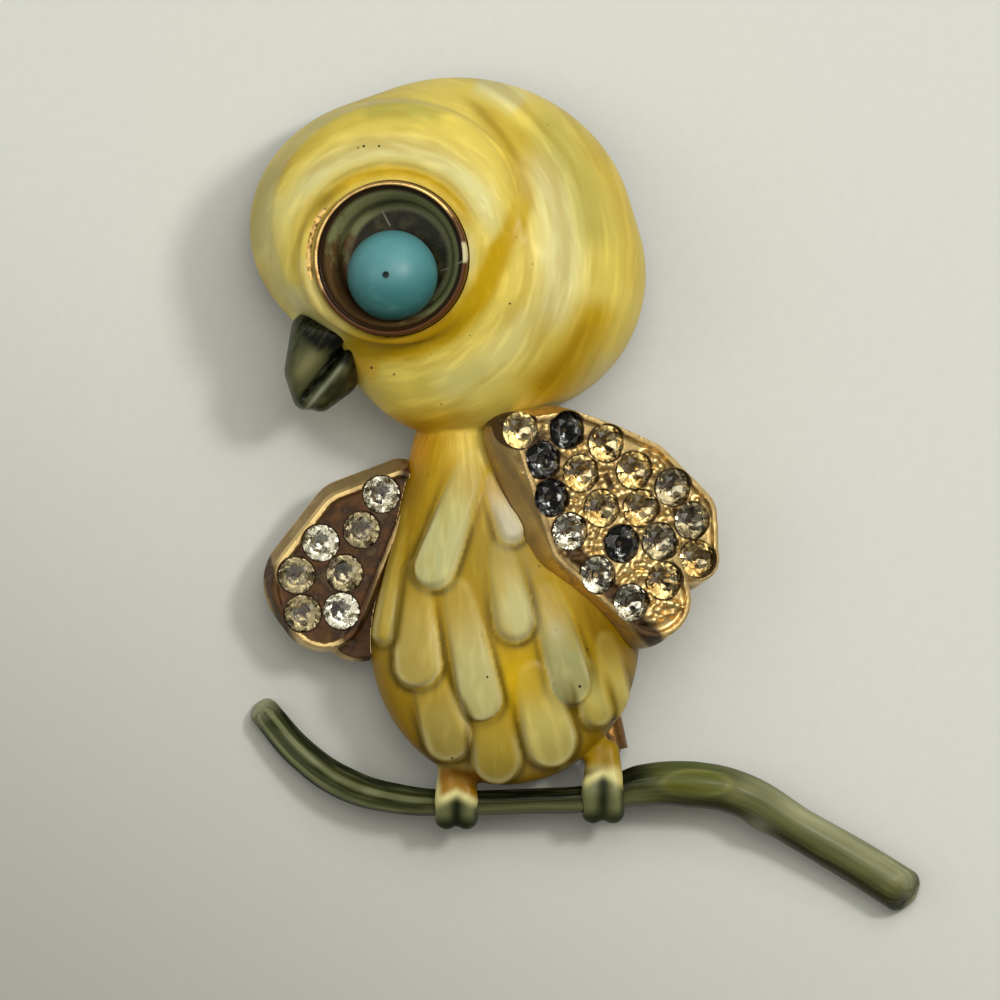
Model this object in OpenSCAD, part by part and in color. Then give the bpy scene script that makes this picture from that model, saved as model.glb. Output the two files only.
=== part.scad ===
// Figural bird brooch, face up: a hollow-backed enamelled bird with a set bead eye,
// two gold wings paved with rhinestones, and a green twig under its feet.
// +Z is the face of the brooch, +Y the top of the head, and Z = 0 is what it lies on.

/* [Body] */
// Widest width of the belly
body_w = 16.8; // [14:0.1:20]
// Height from the top of the chest to the bottom of the belly
body_h = 22.8; // [19:0.1:27]
// Height of the belly above the open back
body_depth = 7.2; // [5.5:0.1:9]
// Thickness of the cast wall of head and body
wall = 1.5; // [1.1:0.1:1.9]
// Height of the raised feathers
feather_relief = 0.5; // [0.3:0.05:0.7]
// Height of the open back above what the brooch lies on
back_z = 2.6; // [2.3:0.1:3.4]

/* [Head] */
// Width of the head
head_w = 24.4; // [22:0.1:28]
// Height of the head
head_h = 22; // [20:0.1:25]
// Height of the crown above the open back
head_depth = 10.4; // [9.4:0.1:12]
// Sideways lean of the face and the eye, in degrees
face_tilt = 8; // [4:0.5:12]
// Thickness of the raised lid round the eye
lid_d = 1.3; // [1:0.1:2]

/* [Eye] */
// Outer diameter of the eye setting
eye_d = 9.6; // [8.4:0.1:10.6]
// Width of the gold rim of the eye setting
eye_rim_w = 0.35; // [0.25:0.05:0.5]
// Height of the stepped upper part of the eye setting
eye_step_h = 2.4; // [1.9:0.1:2.8]
// Depth of the eye setting, from its rim to its floor
eye_depth = 4; // [3.6:0.1:4.6]
// Diameter of the bead
bead_d = 5.6; // [4.8:0.1:6.2]
// Diameter of the hole in the bead
bead_hole_d = 0.36; // [0.3:0.02:0.6]

/* [Beak] */
// Length of the beak, from the face to its tip
beak_len = 5.4; // [4.4:0.1:6.4]
// Width of the slit between the two halves of the beak
beak_slit = 0.24; // [0.16:0.02:0.4]

/* [Wings] */
// Diameter of a rhinestone
stone_d = 2.3; // [2:0.05:2.6]
// Distance between neighbouring rhinestones
stone_gap = 0.1; // [0.1:0.02:0.2]
// Thickness of the right wing
right_wing_t = 3.2; // [2.6:0.1:3.6]
// Thickness of the left wing
left_wing_t = 2.3; // [2:0.1:2.6]
// Slope of the right wing, falling to the right, in degrees
right_slope = 22; // [16:0.5:26]
// Slope of the left wing, falling to the left, in degrees
left_slope = 8; // [4:0.5:12]
// Width of the gold rim round the stones
wing_rim_w = 0.35; // [0.25:0.05:0.5]
// Width of the sloped side of a wing
wing_side_w = 0.5; // [0.3:0.05:0.7]
// Depth of the stone field below the gold rim
wing_recess = 0.45; // [0.3:0.05:0.6]

/* [Twig] */
// Thickness of the twig at its thickest
branch_d = 3; // [2.6:0.1:3.4]
// Reach of the twig to the left of the left foot
branch_left = 12.1; // [9:0.1:15]
// Reach of the twig to the right of the right foot
branch_right = 18.8; // [15:0.1:23]
// Lean of the two cut ends, in degrees
branch_cut = 32; // [15:1:45]
// Thickness of a toe
toe_d = 1.5; // [1.2:0.05:1.8]

/* [Pin] */
// Diameter of the pin stem
pin_d = 0.9; // [0.7:0.05:1.1]
// Diameter of the hinge barrel and of the catch
pin_barrel_d = 2.2; // [2:0.05:2.4]
// Length of the hinge barrel, across the stem
hinge_w = 3.6; // [3:0.1:4.4]
// Length of the catch, along the stem
catch_len = 2.4; // [2:0.1:3]

/* [Hidden] */
// Clearance between two pieces that are seated on each other
seat_gap = 0.06;
// Overlap of two forms that are fused, and overrun of a cut
fuse = 0.2;
// A length past every outline of the brooch
far = 80;

// Where things stand. The belly is the datum, and the rest follows its size.
belly_x = -5.02;
belly_y = -9.075;
neck_x = belly_x - 0.178 * body_w;
neck_y = belly_y + 0.57 * body_h;
head_x = neck_x - 0.023 * head_w;
head_y = neck_y + 0.51 * head_h;
eye_x = head_x - 0.146 * head_w;
eye_y = head_y - 0.023 * head_h;
beak_x = head_x - 0.33 * head_w;
beak_y = head_y - 0.25 * head_h;
right_root = [belly_x + 0.033 * body_w, belly_y + 0.553 * body_h];
left_root = [belly_x - 0.39 * body_w, belly_y + 0.444 * body_h];
left_foot = [belly_x - 0.18 * body_w, belly_y - 0.446 * body_h];
right_foot = [belly_x + 0.366 * body_w, belly_y - 0.429 * body_h];

// The blobs that a form is stretched over.
// Columns: x, y and z of the centre, then the radii across, along and up, each as a share
// of the form's width, height and depth.
body_blobs = [
    [0, 0, 0.14, 0.5, 0.397, 0.86],
    [-0.165, 0.45, 0.14, 0.195, 0.16, 0.68],
    [-0.17, 0.54, 0.14, 0.17, 0.1, 0.6]
];
head_blobs = [
    [0.023, 0.037, 0.115, 0.456, 0.4615, 0.875],
    [-0.118, 0.071, 0.115, 0.39, 0.376, 0.80],
    [0.151, -0.063, 0.115, 0.356, 0.399, 0.846],
    [0.015, -0.15, 0.3, 0.303, 0.375, 0.59]
];
// The face swirl that stands proud of the head, in the same columns.
swirl = [-0.123, 0.08, 0.8, 0.333, 0.34, 0.2];

// The feathers. Columns: x and y of the root, x and y of the tip's centre, as shares of the
// body's width and height from the belly's centre, and the width as a share of its width.
feathers = [
    [-0.115, 0.50, -0.26, 0.197, 0.165],
    [-0.041, 0.44, 0.022, 0.301, 0.12],
    [-0.011, 0.247, 0.037, 0.052, 0.16],
    [-0.346, 0.178, -0.323, -0.066, 0.185],
    [-0.178, 0.137, -0.086, -0.162, 0.175],
    [0.156, 0.137, 0.245, -0.118, 0.175],
    [0.11, -0.1, 0.165, -0.272, 0.21],
    [-0.29, -0.1, -0.208, -0.262, 0.19],
    [-0.06, -0.17, -0.03, -0.326, 0.19],
    [0.37, 0.03, 0.365, -0.15, 0.16]
];

// The discs that a wing's outline is stretched round, counted from its root.
// Columns: x, y and radius in stone pitches, and the lobe that the disc belongs to.
right_discs = [
    [0.28, 0.05, 0.62, 0],
    [1.41, 0.16, 0.68, 0],
    [2.45, -0.2, 0.68, 0],
    [1.56, -2.73, 0.99, 0],
    [3.59, -4.27, 1.2, 0],
    [2.45, -0.2, 0.68, 1],
    [3.33, -0.94, 0.99, 1],
    [4.38, -2.14, 1.09, 1],
    [4.74, -3.23, 0.75, 1]
];
left_discs = [
    [-0.1, -0.1, 0.62, 0],
    [-1.38, -1.15, 1.15, 0],
    [-2.21, -2.71, 1.46, 0],
    [-2.08, -3.33, 1.2, 0],
    [-1.2, -3.75, 1.04, 1],
    [-0.3, -1.5, 0.6, 1]
];
// The stones. Columns: x and y in stone pitches from the wing's root.
left_stones = [
    [-0.50, -0.42], [-1.02, -1.35], [-2.08, -1.69], [-1.46, -2.47], [-2.71, -2.53],
    [-1.54, -3.46], [-2.55, -3.52]
];
right_stones = [
    [0.22, 0.2], [1.43, 0.21], [0.81, -0.57], [1.02, -1.54], [1.80, -0.91], [2.34, -1.82],
    [1.51, -2.42], [2.45, -0.13], [3.18, -0.83], [3.36, -1.82], [2.86, -2.73], [2.24, -3.54],
    [3.10, -4.27], [3.96, -3.70], [3.85, -2.68], [4.69, -2.14], [4.82, -3.13], [4.19, -1.28]
];

// The twig. Columns: reach from the foot and rise, as shares of that side's reach, and the
// thickness as a share of the thickest.
branch_left_rows = [
    [1, 0.472, 0.63], [0.803, 0.249, 0.7], [0.57, 0.093, 0.74], [0.285, 0.016, 0.67]
];
branch_right_rows = [
    [0.12, 0.035, 0.9], [0.292, 0.04, 1], [0.458, 0.007, 0.94], [0.658, -0.11, 0.88],
    [0.857, -0.226, 0.93], [1, -0.316, 0.95]
];
branch_foot_share = 0.54;
branch_sides = 12;
branch_steps = 3;

// Height of the belly and chest over a place: the top of the blobs that lie between those
// two blobs, worked out in a few steps.
chest_steps = 12;
function mix(a, b, t) = a + (b - a) * t;
function blob_top(b, x, y) =
    let (f = 1 - pow((x - b[0]) / b[3], 2) - pow((y - b[1]) / b[4], 2))
    f > 0 ? b[2] + b[5] * sqrt(f) : 0;
function body_top(x, y) =
    max([for (i = [0:chest_steps]) blob_top(mix(body_blobs[0], body_blobs[1], i / chest_steps), x, y)])
    * body_depth;
// Lean of that surface, as the direction that stands square on it.
probe = 0.02;
function body_lean(x, y) = [
    (body_top(x - probe, y) - body_top(x + probe, y)) / (2 * probe * body_w),
    (body_top(x, y - probe) - body_top(x, y + probe)) / (2 * probe * body_h),
    1
];

// One blob. Growing it by a negative length gives the hollow inside a form, which is drawn
// with fewer sides than the outside.
form_sides = 40;
hollow_sides = 28;
module blob(b, size, grow) {
    sides = grow < 0 ? hollow_sides : form_sides;
    translate([b[0] * size[0], b[1] * size[1], b[2] * size[2]])
        scale([b[3] * size[0] + grow, b[4] * size[1] + grow, b[5] * size[2] + grow])
            sphere(r = 1, $fn = sides);
}

// Keeps what lies above the open back.
module above_back(z) {
    intersection() {
        children();
        translate([-far, -far, z])
            cube([2 * far, 2 * far, far]);
    }
}

module body_form(grow) {
    translate([belly_x, belly_y, back_z])
        hull()
            for (b = body_blobs)
                blob(b, [body_w, body_h, body_depth], grow);
}

module head_form(grow) {
    size = [head_w, head_h, head_depth];
    translate([head_x, head_y, back_z]) {
        hull()
            for (b = head_blobs)
                blob(b, size, grow);
        hull() {
            swirl_lens(size, grow);
            blob(head_blobs[1], size, grow);
        }
    }
}

module swirl_lens(size, grow) {
    lens = concat([0, 0, 0], [for (k = [3:5]) swirl[k]]);
    translate([swirl[0] * size[0], swirl[1] * size[1], swirl[2] * size[2]])
        rotate([0, -face_tilt, 0])
            blob(lens, size, grow);
}

// The eye stands square on the leaning face. Its frame has its rim at zero, and the rim's
// height is a share of the head's depth.
eye_rise = 1.06;
eye_rim_z = back_z + head_depth * eye_rise;
module at_eye() {
    translate([eye_x, eye_y, eye_rim_z])
        rotate([0, -face_tilt, 0])
            children();
}
eye_r = eye_d / 2;
eye_mouth_r = eye_r - eye_rim_w;
eye_step_share = 0.81;
eye_step_r = eye_mouth_r * eye_step_share;
cup_wall = 0.45;
eye_barrel_r = eye_step_r + cup_wall;
eye_floor_t = 0.5;
eye_lip_h = 0.3;
socket_wall = 0.9;
// Where the lid's round section lies, in its own thicknesses: below the rim and outside it.
lid_sink = 0.95;
lid_reach = 0.37;

module eye_hole() {
    translate([0, 0, -eye_step_h - eye_lip_h - seat_gap])
        cylinder(h = far, r = eye_r + seat_gap, $fn = 40);
    translate([0, 0, -far / 2])
        cylinder(h = far / 2, r = eye_barrel_r + seat_gap, $fn = 40);
}

module eye_socket() {
    intersection() {
        head_form(0);
        at_eye()
            translate([0, 0, -eye_depth - eye_floor_t])
                cylinder(h = far, r = eye_r + socket_wall, $fn = 40);
    }
}

module eye_lid() {
    at_eye()
        translate([0, 0, -lid_d * lid_sink])
            rotate_extrude($fn = 40)
                translate([eye_r + lid_d * lid_reach, 0])
                    circle(d = lid_d, $fn = 10);
}

// One feather: a chain of thin ovals laid square on the body's surface, narrow and sunk at
// the root and full at the tip. The sinks and the thickness are shares of the relief.
feather_steps = 3;
feather_root_w = 0.36;
feather_tip_w = 0.5;
feather_root_sink = 1;
feather_tip_sink = 0.1;
feather_half_t = 1.15;
module feather_oval(row, t) {
    x = mix(row[0], row[2], t);
    y = mix(row[1], row[3], t);
    n = body_lean(x, y);
    half_w = row[4] * body_w * mix(feather_root_w, feather_tip_w, sqrt(t));
    lift = -feather_relief * mix(feather_root_sink, feather_tip_sink, t);
    translate([x * body_w, y * body_h, body_top(x, y)])
        rotate([0, atan2(norm([n[0], n[1]]), n[2]), atan2(n[1], n[0])])
            translate([0, 0, lift])
                scale([half_w, half_w, feather_relief * feather_half_t])
                    sphere(r = 1, $fn = 12);
}

module feather(row) {
    for (i = [0:feather_steps - 1])
        hull() {
            feather_oval(row, i / feather_steps);
            feather_oval(row, (i + 1) / feather_steps);
        }
}

// A foot: two toes that come down from the belly and lie over the twig.
foot_rise = 0.8;
foot_z = back_z + foot_rise;
// The balls that a toe is stretched over, from the belly to the toe's tip.
// Columns: distance from the foot's middle, place along the foot and height, in toe
// thicknesses.
toe_rows = [[0.2, 1.9, 0.35], [0.42, 0.2, 0.6], [0.42, -0.65, 0]];

module toe_ball(place, side, row) {
    translate([place[0] + side * toe_d * row[0], place[1] + toe_d * row[1], foot_z + toe_d * row[2]])
        sphere(d = toe_d, $fn = 12);
}

module toe(place, side) {
    for (i = [0:len(toe_rows) - 2])
        hull() {
            toe_ball(place, side, toe_rows[i]);
            toe_ball(place, side, toe_rows[i + 1]);
        }
}

// The posts inside the casting that carry the pin. The hinge stands to the right of the
// head's middle, and the catch above the right foot, a little inside the belly's edge.
hinge_place = [0.14, 0.05];
catch_offset = [0.5, 2.8];
catch_post_offset = [-1.6, 0.6];
pin_from = [head_x + hinge_place[0] * head_w, head_y + hinge_place[1] * head_h];
pin_to = right_foot + catch_offset;
catch_post = pin_to + catch_post_offset;
pin_len = norm(pin_to - pin_from);
pin_turn = atan2(pin_from[0] - pin_to[0], pin_to[1] - pin_from[1]);
pin_z = pin_barrel_d / 2;
pin_plate_t = 0.5;
pin_top = pin_barrel_d - fuse + pin_plate_t;
post_d = 3;

module pin_post(place) {
    translate([place[0], place[1], pin_top + seat_gap])
        cylinder(h = far, d = post_d, $fn = 20);
}

module bird_casting() {
    color("khaki")
        difference() {
            union() {
                above_back(back_z)
                    difference() {
                        union() {
                            head_form(0);
                            body_form(0);
                        }
                        head_form(-wall);
                        body_form(-wall);
                    }
                above_back(back_z)
                    eye_socket();
                intersection() {
                    union() {
                        head_form(-fuse);
                        body_form(-fuse);
                    }
                    union() {
                        pin_post(pin_from);
                        pin_post(catch_post);
                    }
                }
                difference() {
                    eye_lid();
                    head_form(-wall);
                }
                above_back(back_z)
                    difference() {
                        translate([belly_x, belly_y, back_z])
                            for (row = feathers)
                                feather(row);
                        body_form(-wall);
                        head_form(-wall);
                        right_wing_block(seat_gap);
                        left_wing_block(seat_gap);
                    }
                difference() {
                    for (place = [left_foot, right_foot], side = [-1, 1])
                        toe(place, side);
                    body_form(-wall);
                }
            }
            at_eye()
                eye_hole();
            branch_form(seat_gap);
        }
}

// The beak. Each half is stretched over its round places.
// Columns: x, y, z and radius as shares of the beak's length.
beak_upper = [
    [-0.13, 0.13, 0.05, 0.165], [0.21, 0.04, 0.05, 0.165], [-0.22, -0.36, 0, 0.155],
    [-0.15, -0.66, -0.08, 0.13]
];
beak_lower = [[0.31, -0.13, 0.02, 0.15], [0.27, -0.45, -0.04, 0.165], [0.02, -0.69, -0.1, 0.12]];
beak_flat = 2.2;
beak_rise = 0.42;
beak_z = back_z + head_depth * beak_rise;
// The slit: a place on it and the height of its floor, in the same shares, and its turn.
slit_place = [0.105, -0.335, 0.16];
slit_turn = -39.5;

module beak_half(rows) {
    hull()
        for (row = rows)
            translate([row[0] * beak_len, row[1] * beak_len, row[2] * beak_len])
                scale([1, 1, beak_flat])
                    sphere(r = row[3] * beak_len, $fn = 16);
}

module beak() {
    color("darkolivegreen")
        difference() {
            translate([beak_x, beak_y, beak_z]) {
                difference() {
                    union() {
                        beak_half(beak_upper);
                        beak_half(beak_lower);
                    }
                    translate(slit_place * beak_len)
                        rotate([0, 0, slit_turn])
                            translate([-beak_slit / 2, -beak_len, 0])
                                cube([beak_slit, 2 * beak_len, beak_len]);
                }
            }
            head_form(seat_gap);
            translate([-far, -far, -far])
                cube([2 * far, 2 * far, far + back_z]);
        }
}

module eye_cup() {
    color("goldenrod")
        at_eye()
            rotate_extrude($fn = 64)
                polygon([
                    [0, -eye_depth - eye_floor_t],
                    [eye_barrel_r, -eye_depth - eye_floor_t],
                    [eye_barrel_r, -eye_step_h - eye_lip_h],
                    [eye_r, -eye_step_h - eye_lip_h],
                    [eye_r, -eye_rim_w / 2],
                    [eye_r - eye_rim_w / 2, 0],
                    [eye_mouth_r, -eye_rim_w / 2],
                    [eye_mouth_r, -eye_lip_h],
                    [eye_step_r, -eye_step_h],
                    [eye_step_r, -eye_depth],
                    [0, -eye_depth]
                ]);
}

// The bead stands on the cup's floor and leans down against its step.
bead_r = bead_d / 2;
bead_up = bead_r + seat_gap - eye_depth;
bead_chord = sqrt(pow(bead_r, 2) - pow(bead_up + eye_step_h, 2));
bead_drop = max(0, eye_step_r - bead_chord - seat_gap);
bead_hole_depth = bead_d * 0.1;

module eye_bead() {
    color("cadetblue")
        at_eye()
            translate([0, -bead_drop, bead_up])
                difference() {
                    sphere(r = bead_r, $fn = 64);
                    translate([0, 0, bead_r - bead_hole_depth])
                        cylinder(h = bead_r, d = bead_hole_d, $fn = 16);
                }
}

// Wings. A wing's own frame lies in the plane of its back, with the stones on +Z.
pitch = stone_d + stone_gap;
// Height of each wing's root, as a share of the body's depth.
right_rise = 1.15;
left_rise = 0.42;
right_z = back_z + body_depth * right_rise;
left_z = back_z + body_depth * left_rise;

module at_right_wing() {
    translate([right_root[0], right_root[1], right_z])
        rotate([0, right_slope, 0])
            children();
}

module at_left_wing() {
    translate([left_root[0], left_root[1], left_z])
        rotate([0, -left_slope, 0])
            children();
}

// A lobe from its back up to its rim. The top of it is smaller by the sloped side, and is
// pushed over so that the side is widest where the wing looks away from its tip. The
// upright foot of a lobe is a share of its thickness.
wing_foot_share = 0.35;
right_push = [0.3, 0.2];
left_push = [0.3, -0.25];
left_second_drop = wing_recess * 2;

module wing_lobe(discs, lobe, slope, thick, grow, push) {
    hull()
        for (d = discs)
            if (d[3] == lobe)
                translate([d[0] * pitch / cos(slope), d[1] * pitch, 0]) {
                    translate([0, 0, -thick - grow])
                        cylinder(h = thick * wing_foot_share + grow, r = d[2] * pitch + grow, $fn = 24);
                    translate([push[0], push[1], -fuse])
                        cylinder(h = fuse + grow, r = d[2] * pitch - wing_side_w + grow, $fn = 24);
                }
}

module wing_recess(discs, lobe, slope, push) {
    hull()
        for (d = discs)
            if (d[3] == lobe)
                translate([d[0] * pitch / cos(slope) + push[0], d[1] * pitch + push[1], -wing_recess])
                    cylinder(h = far, r = d[2] * pitch - wing_side_w - wing_rim_w, $fn = 24);
}

module right_wing_block(grow) {
    at_right_wing()
        for (lobe = [0, 1])
            wing_lobe(right_discs, lobe, right_slope, right_wing_t, grow, right_push);
}

module left_wing_block(grow) {
    at_left_wing() {
        wing_lobe(left_discs, 0, left_slope, left_wing_t, grow, left_push);
        translate([0, 0, -left_second_drop])
            wing_lobe(left_discs, 1, left_slope, left_wing_t - left_second_drop, grow, left_push);
    }
}

// Rhinestones: a table, eight crown facets, a thin girdle and eight pavilion facets.
stone_r = stone_d / 2;
crown_h = stone_d * 0.17;
girdle_h = stone_d * 0.04;
pavilion_h = stone_d * 0.36;
table_r = stone_r * 0.56;
seat_r = stone_r * 0.8;
culet_r = stone_r * 0.04;

module stone() {
    sides = 8;
    rings = [[table_r, crown_h], [stone_r, 0], [stone_r, -girdle_h], [culet_r, -girdle_h - pavilion_h]];
    points = [
        for (ring = rings, k = [0:sides - 1])
            [ring[0] * cos(k * 360 / sides), ring[0] * sin(k * 360 / sides), ring[1]]
    ];
    last = len(rings) - 1;
    faces = concat(
        [[for (k = [sides - 1:-1:0]) k]],
        [for (r = [0:last - 1], k = [0:sides - 1])
            [r * sides + k, r * sides + (k + 1) % sides, (r + 1) * sides + (k + 1) % sides,
                (r + 1) * sides + k]],
        [[for (k = [0:sides - 1]) last * sides + k]]
    );
    color("gainsboro")
        polyhedron(points = points, faces = faces, convexity = 2);
}

// The pocket that a stone drops into: its pavilion rests on the edge of a smaller well.
module stone_pocket() {
    ledge = pavilion_h * (1 - seat_r / stone_r);
    translate([0, 0, -girdle_h - ledge - seat_gap])
        cylinder(h = far, r = stone_r + seat_gap, $fn = 16);
    translate([0, 0, -girdle_h - pavilion_h - seat_gap])
        cylinder(h = far, r = seat_r, $fn = 16);
}

module at_stone(row, slope) {
    translate([row[0] * pitch / cos(slope), row[1] * pitch, -wing_recess + girdle_h])
        children();
}

module right_wing() {
    color("goldenrod")
        difference() {
            right_wing_block(0);
            body_form(seat_gap);
            head_form(seat_gap);
            at_right_wing() {
                for (lobe = [0, 1])
                    wing_recess(right_discs, lobe, right_slope, right_push);
                for (row = right_stones)
                    at_stone(row, right_slope)
                        stone_pocket();
            }
        }
}

module left_wing() {
    color("goldenrod")
        difference() {
            left_wing_block(0);
            body_form(seat_gap);
            head_form(seat_gap);
            at_left_wing() {
                wing_recess(left_discs, 0, left_slope, left_push);
                for (row = left_stones)
                    at_stone(row, left_slope)
                        stone_pocket();
            }
        }
}

module left_stone(number) {
    at_left_wing()
        at_stone(left_stones[number - 1], left_slope)
            stone();
}

module right_stone(number) {
    at_right_wing()
        at_stone(right_stones[number - 1], right_slope)
            stone();
}

// The twig: a round section swept along a smooth line through its rows.
// A place on it is x, y, z and the radius there.
function twig_z(share, r) = r + (foot_z - r) * (1 - pow(share, 2) * (3 - 2 * share));
function twig_left(row) =
    let (r = row[2] * branch_d / 2)
    [left_foot[0] - row[0] * branch_left, left_foot[1] + row[1] * branch_left, twig_z(row[0], r), r];
function twig_right(row) =
    let (r = row[2] * branch_d / 2)
    [right_foot[0] + row[0] * branch_right, right_foot[1] + row[1] * branch_right,
        twig_z(row[0], r), r];
foot_r = branch_foot_share * branch_d / 2;
// Between the feet the twig sags a little, and it swells past the right foot.
foot_sag = [0, -0.1];
foot_swell = 1.1;
mid_foot = (left_foot + right_foot) / 2 + foot_sag;
twig_places = concat(
    [for (row = branch_left_rows) twig_left(row)],
    [[left_foot[0], left_foot[1], foot_z, foot_r]],
    [[mid_foot[0], mid_foot[1], foot_z, foot_r]],
    [[right_foot[0], right_foot[1], foot_z, foot_r * foot_swell]],
    [for (row = branch_right_rows) twig_right(row)]
);
function clamp(i, n) = max(0, min(n, i));
function spline(a, b, c, d, t) =
    0.5 * (2 * b + (c - a) * t + (2 * a - 5 * b + 4 * c - d) * t * t + (3 * b - a - 3 * c + d) * t * t * t);
function smooth_line(rows, steps) =
    let (last = len(rows) - 1)
    concat(
        [for (i = [0:last - 1], s = [0:steps - 1])
            spline(rows[clamp(i - 1, last)], rows[i], rows[i + 1], rows[clamp(i + 2, last)], s / steps)],
        [rows[last]]
    );
function place_of(p) = [p[0], p[1], p[2]];
function unit(v) = v / norm(v);
function heading(line, i) =
    let (last = len(line) - 1)
    let (step = place_of(line[min(last, i + 1)]) - place_of(line[max(0, i - 1)]))
    i == 0 || i == last ? unit([step[0], step[1], 0]) : unit(step);

// A ring of points square on the line. At the two ends the ring leans back, so that the cut
// face looks up.
function twig_ring(line, i, grow) =
    let (last = len(line) - 1)
    let (t = heading(line, i))
    let (side = unit(cross([0, 0, 1], t)))
    let (up = cross(t, side))
    let (lean = i == 0 ? tan(branch_cut) : i == last ? -tan(branch_cut) : 0)
    let (r = line[i][3] + grow)
    [for (k = [0:branch_sides - 1])
        let (a = k * 360 / branch_sides)
        place_of(line[i]) + side * r * cos(a) + up * r * sin(a) + t * lean * r * sin(a)];

module branch_form(grow) {
    line = smooth_line(twig_places, branch_steps);
    last = len(line) - 1;
    n = branch_sides;
    points = [for (i = [0:last]) each twig_ring(line, i, grow)];
    faces = concat(
        [[for (k = [0:n - 1]) k]],
        [for (i = [0:last - 1], k = [0:n - 1])
            each [
                [i * n + k, (i + 1) * n + k, (i + 1) * n + (k + 1) % n],
                [i * n + k, (i + 1) * n + (k + 1) % n, i * n + (k + 1) % n]
            ]],
        [[for (k = [n - 1:-1:0]) last * n + k]]
    );
    polyhedron(points = points, faces = faces, convexity = 6);
}

module branch() {
    color("darkolivegreen")
        branch_form(0);
}

// The pin, in a frame that starts at its hinge and runs along +Y.
module at_pin() {
    translate([pin_from[0], pin_from[1], 0])
        rotate([0, 0, pin_turn])
            children();
}

module pin_back() {
    color("darkgoldenrod")
        at_pin() {
            translate([-hinge_w / 2, 0, pin_z])
                rotate([0, 90, 0])
                    cylinder(h = hinge_w, d = pin_barrel_d, $fn = 32);
            translate([-hinge_w / 2, -pin_barrel_d / 2, pin_barrel_d - fuse])
                cube([hinge_w, pin_barrel_d, pin_plate_t]);
            translate([0, 0, pin_z])
                rotate([-90, 0, 0])
                    cylinder(h = pin_len, d = pin_d, $fn = 24);
            translate([0, pin_len - catch_len, pin_z])
                rotate([-90, 0, 0])
                    cylinder(h = catch_len, d = pin_barrel_d, $fn = 32);
        }
}

bird_casting();
beak();
eye_cup();
eye_bead();
left_wing();
right_wing();
branch();
pin_back();
for (number = [1:7])
    left_stone(number);
for (number = [1:18])
    right_stone(number);
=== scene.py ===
import math
import random

import bpy
import numpy as np
from mathutils import Matrix, Vector
from mathutils.kdtree import KDTree


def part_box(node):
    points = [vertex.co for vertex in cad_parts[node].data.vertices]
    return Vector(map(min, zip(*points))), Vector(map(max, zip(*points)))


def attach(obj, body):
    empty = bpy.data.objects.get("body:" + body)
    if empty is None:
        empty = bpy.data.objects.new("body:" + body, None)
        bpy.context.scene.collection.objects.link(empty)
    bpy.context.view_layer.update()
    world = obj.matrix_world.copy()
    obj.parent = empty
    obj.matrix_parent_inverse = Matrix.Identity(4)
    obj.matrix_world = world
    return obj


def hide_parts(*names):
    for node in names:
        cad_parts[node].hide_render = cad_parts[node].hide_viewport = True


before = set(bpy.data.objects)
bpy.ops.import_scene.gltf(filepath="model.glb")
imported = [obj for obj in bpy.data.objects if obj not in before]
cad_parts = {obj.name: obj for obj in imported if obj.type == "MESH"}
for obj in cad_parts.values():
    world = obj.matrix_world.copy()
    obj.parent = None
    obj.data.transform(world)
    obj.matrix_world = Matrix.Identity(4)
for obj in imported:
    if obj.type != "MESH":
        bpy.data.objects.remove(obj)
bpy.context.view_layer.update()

# The twig. A solid cast twig under the bird's feet, coated in translucent green enamel that
# lies dark in the flutes and pale on the ridges. It was swept along the feet and down to the
# table on both sides, and each end was sawn off at a slant.
mm = 0.001
foot_z = 3.4 * mm
left_foot = Vector((-8.04, -19.24, 0)) * mm
right_foot = Vector((1.13, -18.86, 0)) * mm
twig_r = 1.5 * mm
twig_left_reach = 12.1 * mm
twig_right_reach = 18.8 * mm
saw_lean = math.radians(32)
saw_spare = 1.6 * mm
# Columns: reach from the foot, rise, and thickness, as shares of that side's reach and of
# the thickest place.
twig_left_rows = [(1, 0.472, 0.63), (0.803, 0.249, 0.7), (0.57, 0.093, 0.74),
                  (0.285, 0.016, 0.67)]
twig_right_rows = [(0.12, 0.035, 0.9), (0.292, 0.04, 1), (0.458, 0.007, 0.94),
                   (0.658, -0.11, 0.88), (0.857, -0.226, 0.93), (1, -0.316, 0.95)]
twig_at_foot = 0.54


def twig_place(foot, reach, row, side):
    """A row as a place and a radius, coming down from the foot to the table on one side."""
    radius = row[2] * twig_r
    fall = row[0] ** 2 * (3 - 2 * row[0])
    height = radius + (foot_z - radius) * (1 - fall)
    return Vector((foot.x + side * row[0] * reach, foot.y + row[1] * reach, height)), radius


def pick(*pieces):
    """Selects these pieces alone. The first is the active one."""
    bpy.ops.object.select_all(action="DESELECT")
    for piece in pieces:
        piece.select_set(True)
    bpy.context.view_layer.objects.active = pieces[0]


def settle(piece):
    """Puts a piece's place, turn and size into its mesh."""
    pick(piece)
    bpy.ops.object.transform_apply(location=True, rotation=True, scale=True)
    return piece


def open_all(piece):
    """Opens a piece in edit mode, with all of it selected."""
    pick(piece)
    bpy.ops.object.mode_set(mode="EDIT")
    bpy.ops.mesh.select_all(action="SELECT")


def merge_doubles(piece, distance=0.002 * mm):
    """Merges corners that coincide, and turns the faces outwards."""
    open_all(piece)
    bpy.ops.mesh.remove_doubles(threshold=distance)
    bpy.ops.mesh.normals_make_consistent(inside=False)
    bpy.ops.object.mode_set(mode="OBJECT")
    return piece


def saw(piece, place, outwards):
    """Saws off what lies outwards of a slanting plane, and closes the cut."""
    open_all(piece)
    bpy.ops.mesh.bisect(plane_co=place, plane_no=outwards, use_fill=True, clear_outer=True,
                        threshold=1e-7)
    bpy.ops.object.mode_set(mode="OBJECT")


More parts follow.
